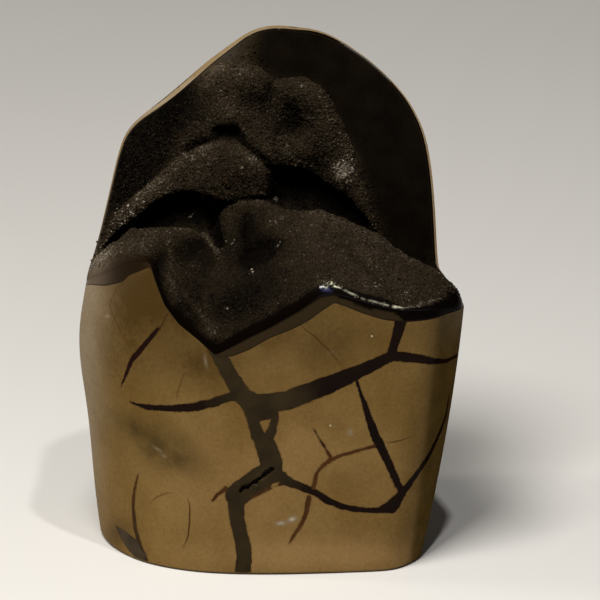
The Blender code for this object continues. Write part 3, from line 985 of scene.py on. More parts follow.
edge_top = by_direction(STONE_EDGE, angle) + by_direction(CRUST_BAND, angle)
band_foot = rim_z + SEAM
rounder = window(angle, 326, 352) + window(angle, 194, 223)
roll = np.clip((0.5 + 0.4 * rounder) * (edge_top - band_foot), 0.2 * MM, ROLL_LARGEST * (1 + 1.4 * rounder))


def band_radius(z):
    """Distance from the axis of the crust's cut edge at each height: as far inside the ground outside
    as the limestone's rim is wide."""
    inset = outside_radius(angle, edge_z) - rim_radius
    return outside_radius(angle, z) - inset


under_rings = bed_rings[::-1].copy()
for number, radius in enumerate(bed_radii[::-1]):
    under_rings[number, :, 2] += (BED_GAP * steepness(angle, radius)) if number else BED_GAP
under_rings[-1] = at(angle, rim_radius, rim_z + SEAM)
band_heights = np.linspace(band_foot, edge_top - roll, BAND_ROWS + 1)[1:]
band_rings = [at(angle, band_radius(z), z) for z in band_heights]
roll_rings = []
for turned in np.linspace(0, np.pi / 2, ROLL_ROWS + 1)[1:]:
    inward = roll * (1 - np.cos(turned))
    radius = band_radius(edge_top - roll) - inward
    roll_rings.append(at(angle, radius, crust_top(angle, radius) - roll * (1 - np.sin(turned))))
top_radii = even_radii(angle, band_radius(edge_top - roll) - roll, crust_top, TOP_ROWS)
top_rings = [at(angle, radius, crust_top(angle, radius)) for radius in top_radii[1:]]
crust_rings = np.array([*under_rings, *band_rings, *roll_rings, *top_rings])
crust_rings[-1] = crust_rings[-1].mean(axis=0)
first_rough = len(under_rings) + BAND_ROWS
highest_cut = round(float((edge_top - band_foot).max() / MM), 1)
print("crust: rings", len(crust_rings), "cut edge", highest_cut, "mm at most")

# %% [markdown]
# ### Which form is which
#
# Each part of the crust has its own look, and the landscape knows where each part is: a form's share is
# near one where it stands highest and fades to nothing over a couple of millimetres.

# %% Shares of the forms
SHARE_SOFTNESS = 2.2 * MM

rough_rings = crust_rings[first_rough:]
x, y, z = rough_rings[..., 0], rough_rings[..., 1], rough_rings[..., 2]
heights = form_heights(x, y)
highest = np.max(list(heights.values()), axis=0)
shares = {name: np.exp((value - highest) / SHARE_SOFTNESS) for name, value in heights.items()}
total = sum(shares.values())
shares = {name: value / total for name, value in shares.items()}
direction = np.arctan2(y, x)
inward = band_radius(edge_top - roll)[None] - np.hypot(x, y)
glossy = shares["wall"] * window(direction, -14, 97)
left_wall = shares["wall"] * window(direction, 97, 205)
ridges = shares["middle ridge"] + shares["upper left lump"] + shares["upper right lump"]
print("shares:", {name: round(float(value.mean()), 2) for name, value in shares.items()})

# %% [markdown]
# ### Lobes, pits and overhangs
#
# The photograph shows lobes like small cushions, with creases between them, and it shows dark recesses:
# the ledges hang over them. The lobes and creases are soft ovals and lines, named and placed by pixels
# like the veins, and they move the surface along its own normal. A recess starts at its ledge's lower
# edge, a line of pixels again, and everything below that line goes straight back.

# %% Lobes, creases and recesses
# column, row, half width, half height, lean, height in mm (negative for a pit)
LOBES = {
    "upper left lobe": (246, 82, 24, 17, 0, 2.4),
    "upper right lobe": (300, 94, 22, 15, -20, 2.2),
    "right flank": (328, 128, 12, 26, 20, 1.6),
    "left patch": (228, 112, 17, 12, 0, 1.8),
    "middle lobe": (290, 150, 27, 15, 0, 2.6),
    "left of the pit": (260, 122, 12, 16, 0, 1.2),
    "end of the middle ridge": (236, 174, 34, 26, 0, 2.2),
    "long left of the middle ridge": (160, 194, 30, 9, 38, 1.0),
    "knob, left": (230, 224, 9, 13, 0, 1.5),
    "knob, right": (270, 221, 14, 11, 0, 1.3),
    "pit in the upper ridge": (293, 127, 13, 15, 15, -2.4),
    "above that pit": (290, 109, 9, 8, 0, -0.8),
    "between the lobes": (258, 106, 12, 12, 0, -1.0),
    "beside the pale cluster": (321, 166, 9, 15, 10, -1.6),
    "crease in the knob": (248, 228, 5, 15, 0, -1.5),
    "pit in the knob": (262, 251, 17, 9, 22, -5.0),
    "tail of that pit": (246, 263, 6, 8, 0, -2.0),
    "facet in the lip": (192, 252, 15, 17, -20, -2.6),
    "under the facet": (193, 276, 16, 14, 0, -0.9),
    "left of the facet": (161, 262, 6, 20, -8, -1.0),
}
# half width in pixels, height in mm, then (column, row)
CREASES = {
    "gap beside the knob": (4.5, -5.5, [(209, 203), (213, 225), (219, 242)]),
    "above the knob": (2.5, -1.3, [
        (224, 208), (231, 204), (242, 199), (260, 198), (275, 202), (286, 208),
    ]),
    "between the lobes": (8, -0.8, [(271, 86), (269, 98), (264, 112)]),
    "above the middle ridge": (4, -2.6, [
        (187, 149), (203, 141), (222, 137), (238, 138), (246, 146), (254, 153), (262, 160), (269, 168),
    ]),
    "left edge of the facet": (3, 1.0, [(169, 243), (171, 256), (171, 269)]),
    "right edge of the facet": (3, 1.3, [(203, 231), (217, 254)]),
    "below that edge": (5, 0.6, [(217, 256), (216, 270), (211, 287), (206, 299), (208, 308)]),
    "groove down the apron": (3.5, -0.5, [(352, 256), (372, 275), (392, 297), (397, 303)]),
    "pleat under the lip": (3, 0.7, [(166, 276), (172, 285), (177, 301)]),
    "pleat in the bowl": (4, 0.8, [(186, 296), (196, 310), (208, 325), (216, 343)]),
    "second pleat in the bowl": (3, 0.6, [(203, 296), (210, 312), (217, 330), (218, 342)]),
}
# how far back in mm, how far down in pixels, the least y in mm, then (column, row) of the ledge's edge
RECESSES = {
    "under the middle ridge": (9.0, 44, -11, [
        (106, 246), (120, 232), (140, 217), (155, 205), (168, 198), (190, 194), (206, 198), (222, 204),
        (236, 206),
    ]),
    "under the upper ridge": (8.5, 46, 3, [
        (268, 168), (285, 169), (300, 171), (312, 175), (326, 186), (345, 197), (358, 210), (372, 228),
    ]),
    "above the middle ridge": (5.0, 16, 10, [(214, 128), (220, 127), (238, 127), (243, 134)]),
}
LEDGE_SOFTNESS = 1.4


def grid_normals(rings):
    """Outward normals of a stack of rings: the cross product of the steps round and along it."""
    around = np.roll(rings, -1, axis=1) - np.roll(rings, 1, axis=1)
    along = np.gradient(rings, axis=0)
    normal = np.cross(around, along)
    length = np.linalg.norm(normal, axis=-1, keepdims=True)
    return np.where(length > 1e-12, normal / np.maximum(length, 1e-12), np.array([0, 0, 1.0]))


normals = grid_normals(rough_rings)
column, row = in_picture(rough_rings)
lobe = np.zeros(rough_rings.shape[:2])
for *oval, height in LOBES.values():
    lobe = lobe + height * MM * soft_oval(column, row, *oval)
flat_picture = np.stack([column.ravel(), row.ravel()], axis=-1)
pleats = np.zeros(rough_rings.shape[:2])
for half_width, height, pixels in CREASES.values():
    distance = distance_to_line(flat_picture, np.array(pixels, float))[0].reshape(column.shape)
    pleats = pleats + height * MM * fading(distance, half_width)
recess = np.zeros(rough_rings.shape[:2])
sunk_back = np.zeros(rough_rings.shape[:2])
for back, down, least_y, pixels in RECESSES.values():
    edge_columns, edge_rows = np.array(pixels, float).T
    below = row - np.interp(column, edge_columns, edge_rows)
    mask = step_up(below, LEDGE_SOFTNESS) * step_up(down - below, 5)
    mask = mask * step_up(column - edge_columns[0], 2) * step_up(edge_columns[-1] - column, 2)
    mask = mask * step_up(rough_rings[..., 1] - least_y * MM, 1.2 * MM)
    recess = np.maximum(recess, mask)
    sunk_back = np.maximum(sunk_back, mask * back * MM)
print("lobes:", len(LOBES), "creases:", len(CREASES), "recesses:", len(RECESSES))

# %% [markdown]
# ### Roughness
#
# Between the lobes the surface is still too smooth. Swells roughen the broad front slope, and small round
# lumps the ridges, while the glossy wall behind stays nearly flat. The roughness fades towards the cut
# edge, so that the edge stays a clean line.

# %% Roughness pushed along the normals
# height, length and random seed of the swells, then share, size and seed of the lumps
SWELLS = [(0.20 * MM, 5 * MM, 31), (0.09 * MM, 1.8 * MM, 32)]
LUMPS = [(1.3, 4.2 * MM, 41), (0.8, 2.0 * MM, 51)]
LUMP_HEIGHT = 0.55 * MM
CLEAN_EDGE = 2.5 * MM

facing_away = np.clip(normals[..., 1] * 2, 0, 1)
rough = sum(height * swells(rough_rings, size, seed) for height, size, seed in SWELLS)
rounded = sum(share * lumps(rough_rings, size, seed) for share, size, seed in LUMPS) - 1.0
rough = rough + (ridges + 0.35 * left_wall + 0.4 * shares["knob"]) * rounded * LUMP_HEIGHT
rough = rough * (1 - 0.85 * glossy)
fade = 1 - fading(np.maximum(inward, 0), CLEAN_EDGE)
moved = (rough + (lobe + pleats) * (1 - facing_away) * (1 - 0.8 * glossy)) * fade
rough_rings = rough_rings + normals * moved[..., None]
rough_rings[..., 1] += sunk_back * fade
rough_rings[-1] = rough_rings[-1].mean(axis=0)
crust_rings[first_rough:] = rough_rings
least, most = (round(float(value / MM), 2) for value in (moved.min(), moved.max()))
print("moved along the normals by", least, "to", most, "mm")

# %% [markdown]
# ### How pale the calcite is drawn, with painted light and shade
#
# The finish needs to know things that only the forms can tell, so they are kept on the crust's points.
# The first are how pale each place is drawn and how smoothly it is polished. The tone follows the forms and
# some soft ovals, and much of it is painted light and shade: the forms are painted paler the further to the
# front they stand and darker deeper in the hollow, crests and raised pleats are painted paler, and the
# bowl, pits, creases, a facet of the lip and the recesses under the ledges are painted darker. The wall
# behind is nearly black glass, painted darker still. The left end of the lip and the polished upper-left
# wall are made paler as painted sheen. A small cluster of pale crystals and a rusty spot stand out.

# %% Tone, smoothness and cover
# each form's tone, paler the further to the front it stands and darker deeper in the hollow: painted light
# and shade
TONES = {
    "apron": 0.80, "knob": 0.52, "left lip": 0.74, "middle ridge": 0.72, "upper left lump": 0.62,
    "upper right lump": 0.62, "wall": 0.14, "floor": 0.10,
}
# painted light and shade, paler crests and sheen, darker pits, creases, facets and hollows under the
# ledges: column, row, half width, half height, lean, how much paler
PAINTED_LIGHT_AND_SHADE = [
    (262, 285, 44, 40, 30, -0.44), (225, 320, 26, 26, 0, -0.2), (262, 252, 19, 11, 22, -0.9),
    (247, 264, 8, 9, 0, -0.4), (246, 230, 9, 16, 0, -0.5), (230, 222, 7, 12, 0, 0.15),
    (272, 222, 10, 8, 0, 0.12), (229, 248, 8, 9, 0, -0.15), (184, 253, 9, 13, 0, -0.5),
    (199, 247, 10, 13, -30, -0.6), (206, 262, 8, 10, 0, -0.35), (196, 280, 14, 14, 0, -0.3),
    (161, 262, 8, 22, -10, -0.4), (195, 305, 16, 22, -40, -0.3), (180, 300, 8, 26, 28, -0.25),
    (240, 302, 22, 14, 30, -0.3), (205, 322, 6, 20, 30, 0.2), (172, 286, 5, 16, 18, 0.2),
    (130, 250, 34, 12, 28, 0.16), (180, 231, 30, 4, 0, 0.2), (96, 268, 25, 13, 50, 0.75),
    (210, 243, 14, 2.5, -58, 0.6), (148, 264, 18, 7, 20, -0.3), (293, 121, 13, 15, 0, -0.6),
    (292, 104, 9, 8, 0, -0.2), (252, 98, 14, 12, 0, -0.3), (245, 71, 22, 6, -8, 0.2),
    (300, 83, 22, 5, -10, 0.25), (325, 106, 6, 22, 20, 0.2), (350, 154, 7, 20, 22, 0.4),
    (228, 112, 18, 11, 0, 0.25), (320, 165, 10, 18, 10, -0.3), (290, 148, 24, 12, 0, 0.12),
    (190, 110, 24, 24, 40, -0.3), (320, 218, 34, 7, -20, 0.1), (150, 188, 34, 6, 40, 0.3),
    (205, 148, 24, 5, 20, 0.4), (250, 158, 24, 5, -38, 0.35), (230, 178, 20, 14, 0, -0.3),
    (190, 192, 26, 8, 25, -0.15), (135, 225, 26, 10, 40, -0.2), (213, 226, 7, 22, 5, -0.8),
    (250, 203, 26, 4, 0, 0.3), (345, 222, 60, 4, -27, 0.12), (425, 282, 22, 12, -20, -0.15),
    (178, 213, 28, 9, 0, -1.2), (305, 190, 30, 12, -10, -1.2), (345, 210, 16, 8, -35, -0.9),
]
# column, row, half width, half height, lean
PALE_CLUSTER = (344, 172, 9, 9, -30)
RUST_SPOT = (228, 178, 18, 16, 0)
POLISHED_REACH = 7 * MM
FRONT_EDGE = 1.0 * MM
BARE_EDGE = 1.6 * MM
BARE_ON_LEFT = 3 * MM

column, row = in_picture(rough_rings)
flat_picture = np.stack([column.ravel(), row.ravel()], axis=-1)
tone = sum(TONES[name] * share for name, share in shares.items())
# painted shade: the left wall and the glossy wall are drawn a little darker
tone = tone - 0.01 * left_wall - 0.04 * glossy
for *oval, paler in PAINTED_LIGHT_AND_SHADE:
    tone = tone + paler * soft_oval(column, row, *oval)
# painted shade in the creases and painted light on the raised pleats
tone = tone + np.clip(pleats / MM, -1.5, 1) * 0.25
uneven = 0.9 * MM * swells(rough_rings, 3 * MM, 61)
front_edge = window(direction, 226, 348, 3) * fading(np.maximum(inward - FRONT_EDGE + uneven, 0), FRONT_EDGE)
# painted shade: the recesses under the ledges are darkened; next to the front edge the top goes black as the
# edge's calcite
tone = tone * (1 - 0.9 * recess) * (1 - 0.85 * front_edge)
polished_wall_and_sheen = fading(inward, POLISHED_REACH) * window(direction, 98, 132)
smooth = np.clip(glossy + polished_wall_and_sheen + front_edge, 0, 1)
cluster = soft_oval(column, row, *PALE_CLUSTER) * (1 - facing_away)
# painted sheen: the polished upper-left wall is made paler where it mirrors the light; the cluster is pale
# calcite
tone = np.clip(tone + 0.6 * polished_wall_and_sheen + 1.1 * cluster, 0, 2)
rust = soft_oval(column, row, *RUST_SPOT) * (1 - facing_away)
cover = np.clip((1 - smooth) * (1 - fading(np.maximum(inward, 0), BARE_EDGE)), 0, 1)
cover = cover * (1 - 0.97 * recess) * (1 - 0.7 * cluster)
cover = cover * (1 - 0.85 * window(direction, 190, 224) * fading(inward, BARE_ON_LEFT))
print("mean tone", round(float(tone.mean()), 2), "mean cover", round(float(cover.mean()), 2))

# %% [markdown]
# ### The cut edge
#
# In front the cut shows the crust's section: a grey layer on the limestone, and above it black calcite
# that goes on over the rounded edge. On the left the edge is brown, and painted pale towards the side: a
# painted sheen where it mirrors the light. Each point gets its share of the way up the edge, and a ragged
# limit on that share parts grey from black. The rounded edge is also the glossiest place on the stone,
# which a coat's weight tells the finish.

# %% Colours of the cut edge
CUT_GREY = (0.0300, 0.0195, 0.0090)
CUT_BLACK = (0.0022, 0.0012, 0.0008)
CUT_BROWN = (0.0140, 0.0075, 0.0030)
# painted sheen on the left end of the cut edge
CUT_SHEEN_PALE = (0.1080, 0.0810, 0.0560)
BAND_SHARE = 0.72
ROLL_SHARE = 0.75
BLACK_FROM = 0.63
PALE_FROM = 207.5
ROLL_POLISH = 0.6
WALL_POLISH = 0.14


def mixed(share, first, second):
    """Two colours blended by a share at each point: first * (1 - share) + second * share."""
    share = share[..., None]
    return np.array(first) * (1 - share) + np.array(second) * share


edge_share = np.zeros(crust_rings.shape[:2])
edge_share[len(under_rings) - 1 : first_rough] = np.linspace(0, BAND_SHARE, BAND_ROWS + 1)[:, None]
edge_share[first_rough : first_rough + ROLL_ROWS] = np.linspace(ROLL_SHARE, 1, ROLL_ROWS)[:, None]
around = np.arctan2(crust_rings[..., 1], crust_rings[..., 0])
on_left = window(around, 150, 224, 3)
cut_share = (edge_share > 0) * step_up(1.02 - 0.16 * on_left - edge_share, 0.03 + 0.03 * on_left)
all_black = window(around, 226, 248, 2) + window(around, 314, 350, 2)
ragged = edge_share + 0.05 * swells(crust_rings, 2.5 * MM, 71) + 0.03 * swells(crust_rings, 0.9 * MM, 72)
ragged = ragged + 0.8 * all_black + 0.18 * window(around, 296, 313, 3)
in_front_colour = mixed(step_up(ragged - BLACK_FROM, 0.012), CUT_GREY, CUT_BLACK)
# brown, turning to the painted sheen towards the left side
left_colour = mixed(step_up(PALE_FROM - np.degrees(around) % 360, 2.5), CUT_BROWN, CUT_SHEEN_PALE)
cut_colour = mixed(on_left, in_front_colour, left_colour)
polish = np.zeros(crust_rings.shape[:2])
polish[first_rough : first_rough + ROLL_ROWS] = ROLL_POLISH * window(angle, 287, 322, 3)
polish[first_rough:] = np.maximum(polish[first_rough:], WALL_POLISH * glossy)
print("points on the cut edge:", int((cut_share > 0.5).sum()))

# %% [markdown]
# ### Glints
#
# Along the rounded edge the polish throws back the light in short bright dashes, and one small patch
# throws it back bluish. A few lamps can't give all of them, so the brightest are painted highlights: pale
# colour along fine lines through places in the photograph, broken up by swells, added to the crust's own
# colour. Two weaker painted highlights lie on a facet edge of the lip and on the pale cluster.

# %% Glints, and the crust piece
# painted highlights: strength, half width in pixels, colour, then (column, row)
GLINTS = [
    (1.0, 1.2, (0.75, 0.74, 0.52), [(318, 282), (326, 283), (334, 283)]),
    (0.9, 0.8, (0.75, 0.74, 0.58), [(334, 286), (341, 288), (346, 291), (352, 294), (358, 297)]),
    (0.48, 0.7, (0.70, 0.66, 0.50), [(358, 297), (364, 299.5), (372, 301), (382, 304), (390, 306)]),
    (1.0, 1.1, (0.80, 0.74, 0.58), [(392, 306.5), (399, 307.5), (402, 308)]),
    (0.5, 0.9, (0.60, 0.55, 0.42), [(402, 308), (408, 307), (414, 306)]),
    (0.3, 1.2, (0.40, 0.34, 0.25), [(414, 306), (426, 302), (440, 299)]),
    (0.8, 2.2, (0.06, 0.065, 0.17), [(324, 290), (330, 290)]),
    (1.0, 1.1, (0.80, 0.78, 0.60), [(325, 287), (326, 287)]),
    (0.3, 1.1, (0.40, 0.35, 0.25), [(203, 232), (210, 243), (216, 253)]),
    (0.6, 1.8, (0.34, 0.28, 0.22), [(340, 174), (347, 175), (352, 180)]),
]

glint = np.zeros(crust_rings.shape)
for strength, half_width, colour, pixels in GLINTS:
    distance = distance_to_line(flat_picture, np.array(pixels, float))[0].reshape(column.shape)
    broken = np.clip(0.65 + 1.2 * swells(rough_rings, 1.3 * MM, 81), 0, 1.3)
    mask = strength * fading(distance, half_width) * broken * (1 - facing_away)
    glint[first_rough:] = np.maximum(glint[first_rough:], mask[..., None] * np.array(colour))


def on_crust_points(values):
    """One value for each point of the rings, as a list for the crust's points."""
    return skin_points(np.repeat(values[..., None], 3, axis=-1))[:, 0]


def on_rough_points(values, elsewhere):
    """Values of the rough rings, spread to every point of the crust, with one value elsewhere."""
    full = np.full(crust_rings.shape[:2], elsewhere, float)
    full[first_rough:] = values
    return on_crust_points(full)


crust = piece("crust", skin_points(crust_rings), ring_faces(crust_rings))
# the tone kept here carries the painted light and shade worked out above
keep_on_points(crust, "tone", on_rough_points(tone, 0.6), "FLOAT")
keep_on_points(crust, "smooth", on_rough_points(smooth, 1.0), "FLOAT")
keep_on_points(crust, "cut_band", on_crust_points(cut_share), "FLOAT")
keep_on_points(crust, "polish", on_crust_points(polish), "FLOAT")
for name, colours in (("cut_colour", cut_colour), ("glint", glint)):
    colours = skin_points(colours)
    keep_on_points(crust, name, np.column_stack([colours, np.ones(len(colours))]), "FLOAT_COLOR")
keep_on_points(crust, "rust", on_rough_points(rust, 0.0), "FLOAT")
crust.data.shade_smooth()
crust.data.set_sharp_from_angle(angle=np.radians(60))
print("crust:", len(crust.data.polygons), "triangles")

# %% [markdown]
# ## The small crystals
#
# A druse is thousands of crystal points side by side, each with a few flat faces, and it is those faces
# that flash. One crystal here is three faces meeting in a point, with its root sunk in the crust, six
# triangles in all. They are scattered over the crust's own triangles by area, more where the crust is
# rough, each with its own size, spin and lean, and joined into a few meshes.

# %% Crystals scattered over the crust
# shares of a crystal's height: how deep its root is sunk, and how high its three corners stand
ROOT = 0.35
WAIST = 0.12
# how much the crystals differ, in the logarithm of their height and in their tone
SIZE_SPREAD = 0.28
TONE_SPREAD = 0.20
CRYSTALS = {
    # count, height in mm, width for each mm of height, lean, random seed
    "fine_crystals": (32000, 0.42, 0.75, 0.35, 5),
    "coarse_crystals": (32000, 0.72, 0.60, 0.45, 6),
    "pale_crystals": (620, 0.70, 0.60, 0.60, 8),
    "edge_crystals": (90, 0.40, 0.65, 0.50, 9),
}
# the rounded edge where it glints, (column, row), and how far from it in pixels its crystals lie; these
# edge crystals are pale, a painted highlight
GLINTING_EDGE = [
    (320, 284), (334, 284), (345, 291), (352, 294), (364, 299), (382, 304), (400, 308), (412, 307),
    (444, 298),
]
GLINTING_WIDTH = 1.6
# column, row, half width, half height, lean, share of single pale crystals where the druse sparkles; their
# pale colour is a painted highlight beside their glossy faces
SPARKS = [
    (127, 216, 12, 9, 30, 0.22), (194, 156, 2, 2, 0, 0.5), (202, 196, 2, 2, 0, 0.5),
    (251, 273, 2.5, 1.5, 20, 0.2), (276, 199, 2, 2, 0, 0.3), (217, 252, 2, 4, 60, 0.2),
    (272, 222, 4, 3, 0, 0.10), (227, 309, 1.5, 1.5, 0, 0.3), (279, 246, 1.2, 1.5, 0, 0.2),
    (376, 285, 1.5, 1.5, 0, 0.3), (408, 293, 3, 1.5, 0, 0.2), (191, 214, 1.5, 1.5, 0, 0.5),
    (230, 243, 3, 2, 0, 0.15), (143, 246, 3, 2, 0, 0.1),
]

coarse_share = np.clip(ridges + 0.8 * left_wall + 0.4 * shares["floor"], 0, 1)
from_edge = distance_to_line(flat_picture, np.array(GLINTING_EDGE, float))[0].reshape(column.shape)
weights = {
    "fine_crystals": cover * (1 - coarse_share),
    "coarse_crystals": cover * (coarse_share + 0.05),
    "pale_crystals": cluster**1.5 + sum(share * soft_oval(column, row, *oval) for *oval, share in SPARKS),
    "edge_crystals": fading(from_edge, GLINTING_WIDTH),
}
weights = {name: weight * (1 - facing_away) for name, weight in weights.items()}


def scattered_places(weight, count, chance):
    """(points, normals, tones): random places in the grid's gaps, chosen by area times weight."""
    a, b = rough_rings[:-1], rough_rings[1:]
    c, d = np.roll(b, -1, axis=1), np.roll(a, -1, axis=1)
    normal = np.cross(c - a, b - d)
    area = 0.5 * np.linalg.norm(normal, axis=-1)
    wanted = (area * (weight[:-1] + weight[1:]) / 2).ravel()
    chosen = chance.choice(len(wanted), size=count, p=wanted / wanted.sum())
    u, v = chance.random((2, count, 1))
    a, b, c, d = (corner.reshape(-1, 3)[chosen] for corner in (a, b, c, d))
    point = (1 - u) * ((1 - v) * a + v * b) + u * ((1 - v) * d + v * c)
    normal = normal.reshape(-1, 3)[chosen]
    normal = normal / np.maximum(np.linalg.norm(normal, axis=-1, keepdims=True), 1e-15)
    normal = normal * np.sign((normal * normals[:-1].reshape(-1, 3)[chosen]).sum(axis=-1, keepdims=True))
    return point, normal, tone[:-1].ravel()[chosen]


def crystal_mesh(name, count, height, width, lean, seed):
    """Crystals as double pyramids on three corners, which stand height * width from the axis, turned by
    thirds of a circle. The root is sunk by ROOT of the height, and the tip stands the rest of it above."""
    chance = np.random.default_rng(seed)
    point, normal, own_tone = scattered_places(weights[name], count, chance)
    axis = normal + lean * chance.normal(size=(count, 3))
    axis = axis / np.linalg.norm(axis, axis=-1, keepdims=True)
    aside = np.cross(axis, chance.normal(size=(count, 3)))
    aside = aside / np.linalg.norm(aside, axis=-1, keepdims=True)
    third = np.cross(axis, aside)
    tall = height * MM * np.exp(chance.normal(0, SIZE_SPREAD, (count, 1)))
    wide = width * tall
    corners = []
    for turned in (0, 2 * np.pi / 3, 4 * np.pi / 3):
        way_out = np.cos(turned) * aside + np.sin(turned) * third
        corners.append(point + wide * way_out + WAIST * tall * axis)
    tip = point + (1 - ROOT) * tall * axis
    root = point - ROOT * tall * axis
    points = np.stack([*corners, tip, root], axis=1).reshape(-1, 3)
    one = np.array([(0, 1, 3), (1, 2, 3), (2, 0, 3), (1, 0, 4), (2, 1, 4), (0, 2, 4)])
    faces = (one[None] + 5 * np.arange(count)[:, None, None]).reshape(-1, 3)
    made = piece(name, points, faces)
    # each crystal's tone comes from the crust's, with its painted light and shade
    own_tone = own_tone + TONE_SPREAD * chance.normal(size=count)
    keep_on_points(made, "tone", np.repeat(own_tone, 5), "FLOAT")
    print(name + ":", count, "crystals,", len(made.data.polygons), "triangles")
    return made


crystal_pieces = {name: crystal_mesh(name, *numbers) for name, numbers in CRYSTALS.items()}

# %% [markdown]
# ## Finishes
#
# Every finish here is worked out from the place on the object and from the values kept on its points.
# A short helper adds a node, sets its options and fills its inputs, so that a material reads from top to
# bottom. The mottling that breaks up every colour is one node group, used by all of the materials.

# %% Node helpers and the mottling group
FINER = 14.0


def put(tree, kind, inputs=None, **options):
    """Adds a node. Options are its settings. Inputs are values, or sockets of other nodes to link."""
    made = tree.nodes.new(kind)
    for key, value in options.items():
        setattr(made, key, value)
    for key, value in (inputs or {}).items():
        if isinstance(value, bpy.types.NodeSocket):
            tree.links.new(value, made.inputs[key])
        else:
            made.inputs[key].default_value = value
    return made


def maths(tree, operation, *values):
    """One sum, product or other operation on numbers."""
    return put(tree, "ShaderNodeMath", dict(enumerate(values)), operation=operation).outputs[0]


def between(tree, value, low, high, at_low=0.0, at_high=1.0):
    """A number carried from one range to another, and held at its ends."""
    inputs = {"Value": value, "From Min": low, "From Max": high, "To Min": at_low, "To Max": at_high}
    return put(tree, "ShaderNodeMapRange", inputs, clamp=True).outputs["Result"]


def blend(tree, share, first, second, mode="MIX"):
    """Two colours blended by a share."""
    colours = {
        key: value if isinstance(value, bpy.types.NodeSocket) else (*value, 1)
        for key, value in ((6, first), (7, second))
    }
    made = put(tree, "ShaderNodeMix", {0: share, **colours}, data_type="RGBA", blend_type=mode)
    return made.outputs[2]


def noise(tree, place, size, detail=2.0, roughness=0.5):
    """Noise from 0 to 1 whose swells are about this long, in metres."""
    inputs = {"Vector": place, "Scale": 1 / size, "Detail": detail, "Roughness": roughness}
    return put(tree, "ShaderNodeTexNoise", inputs).outputs["Fac"]


def value_on_points(tree, name, output="Fac"):
    """A value kept on the piece's points."""
    return put(tree, "ShaderNodeAttribute", attribute_name=name).outputs[output]


def times(tree, colour, factor):
    """A colour made paler or darker by one number."""
    grey = put(tree, "ShaderNodeCombineColor", {key: factor for key in ("Red", "Green", "Blue")})
    return blend(tree, 1.0, colour, grey.outputs[0], "MULTIPLY")


def laid_over(tree, body, mask, patchy, colour):
    """A stain on a body: a blend towards its colour by the mask times its own patchiness."""
    return blend(tree, maths(tree, "MULTIPLY", mask, patchy), body, colour)


def mottling_group():
    """A node group: broad and fine noise added up into one mask round a half."""
    group = bpy.data.node_groups.new("mottling", "ShaderNodeTree")
    group.interface.new_socket("Place", in_out="INPUT", socket_type="NodeSocketVector")
    for name, usual in (("Broad Size", 0.02), ("Fine Share", 0.4)):
        group.interface.new_socket(name, in_out="INPUT", socket_type="NodeSocketFloat").default_value = usual
    group.interface.new_socket("Mask", in_out="OUTPUT", socket_type="NodeSocketFloat")
    entry = put(group, "NodeGroupInput")
    place = entry.outputs["Place"]
    scale = maths(group, "DIVIDE", 1.0, entry.outputs["Broad Size"])
    broad = put(group, "ShaderNodeTexNoise", {"Vector": place, "Scale": scale, "Detail": 4.0})
    fine_scale = maths(group, "MULTIPLY", scale, FINER)
    fine = put(group, "ShaderNodeTexNoise", {"Vector": place, "Scale": fine_scale, "Detail": 3.0})
    share = put(
        group, "ShaderNodeMix",
        {0: entry.outputs["Fine Share"], 2: broad.outputs["Fac"], 3: fine.outputs["Fac"]}, data_type="FLOAT",
    )
    put(group, "NodeGroupOutput", {"Mask": share.outputs[0]})
    return group


mottling = mottling_group()


def mottled(tree, place, broad_size, fine_share):
    """The mottling group placed in a material, with its own values."""
    inputs = {"Place": place, "Broad Size": broad_size, "Fine Share": fine_share}
    return put(tree, "ShaderNodeGroup", inputs, node_tree=mottling).outputs["Mask"]


def new_material(name, roughness, specular):
    """A material with its tree, its shader and the object coordinates."""
    material = bpy.data.materials.new(name)
    material.use_nodes = True
    tree = material.node_tree
    shader = tree.nodes["Principled BSDF"]
    shader.inputs["Roughness"].default_value = roughness
    shader.inputs["Specular IOR Level"].default_value = specular
    place = put(tree, "ShaderNodeTexCoord").outputs["Object"]
    return material, tree, shader, place


print("group sockets:", ", ".join(item.name for item in mottling.interface.items_tree))

# %% [markdown]
# ### Polished limestone
#
# Polished limestone is waxy rather than glassy: fine mottling, soft stains, a few pale specks, and a
# gloss that is clear but weak. The gloss is all in a thin coat, weighted by the value kept on the points.
# The plain specular share is nought, because at grazing angles it would gather the pale floor's light and
# turn the dark veins grey.

# %% Limestone, its stains and specks
TAN_PALE = (0.205, 0.126, 0.040)
TAN_DEEP = (0.150, 0.086, 0.021)
OLIVE = (0.048, 0.030, 0.0070)
DARK_STAIN_AND_SHADE = (0.058, 0.032, 0.0062)
PINKISH = (0.275, 0.166, 0.062)
# the colour of the painted sheen
PAINTED_SHEEN = (0.245, 0.196, 0.132)
SPECK = (0.42, 0.36, 0.24)

material, tree, shader, place = new_material("polished limestone", 0.26, 0.0)
shader.inputs["Coat Roughness"].default_value = 0.24
cloud = mottled(tree, place, 0.022, 0.22)
streaks = noise(tree, place, 0.006, 3.0)
grain = noise(tree, place, 0.0009, 2.0, 0.7)
stains = put(tree, "ShaderNodeSeparateXYZ", {0: value_on_points(tree, "stain", "Vector")})
on_sheen_and_chips = value_on_points(tree, "sheen_and_chips")
body = blend(tree, between(tree, cloud, 0.36, 0.64), TAN_DEEP, TAN_PALE)
body = laid_over(tree, body, stains.outputs[2], between(tree, cloud, 0.3, 0.6, 0.5, 1.0), PINKISH)
# the dark stains, which also carry the bevel's painted shade, as the olive does
body = laid_over(tree, body, stains.outputs[1], between(tree, cloud, 0.3, 0.6, 1.0, 0.6), DARK_STAIN_AND_SHADE)
body = laid_over(tree, body, stains.outputs[0], between(tree, streaks, 0.3, 0.65, 0.6, 1.0), OLIVE)
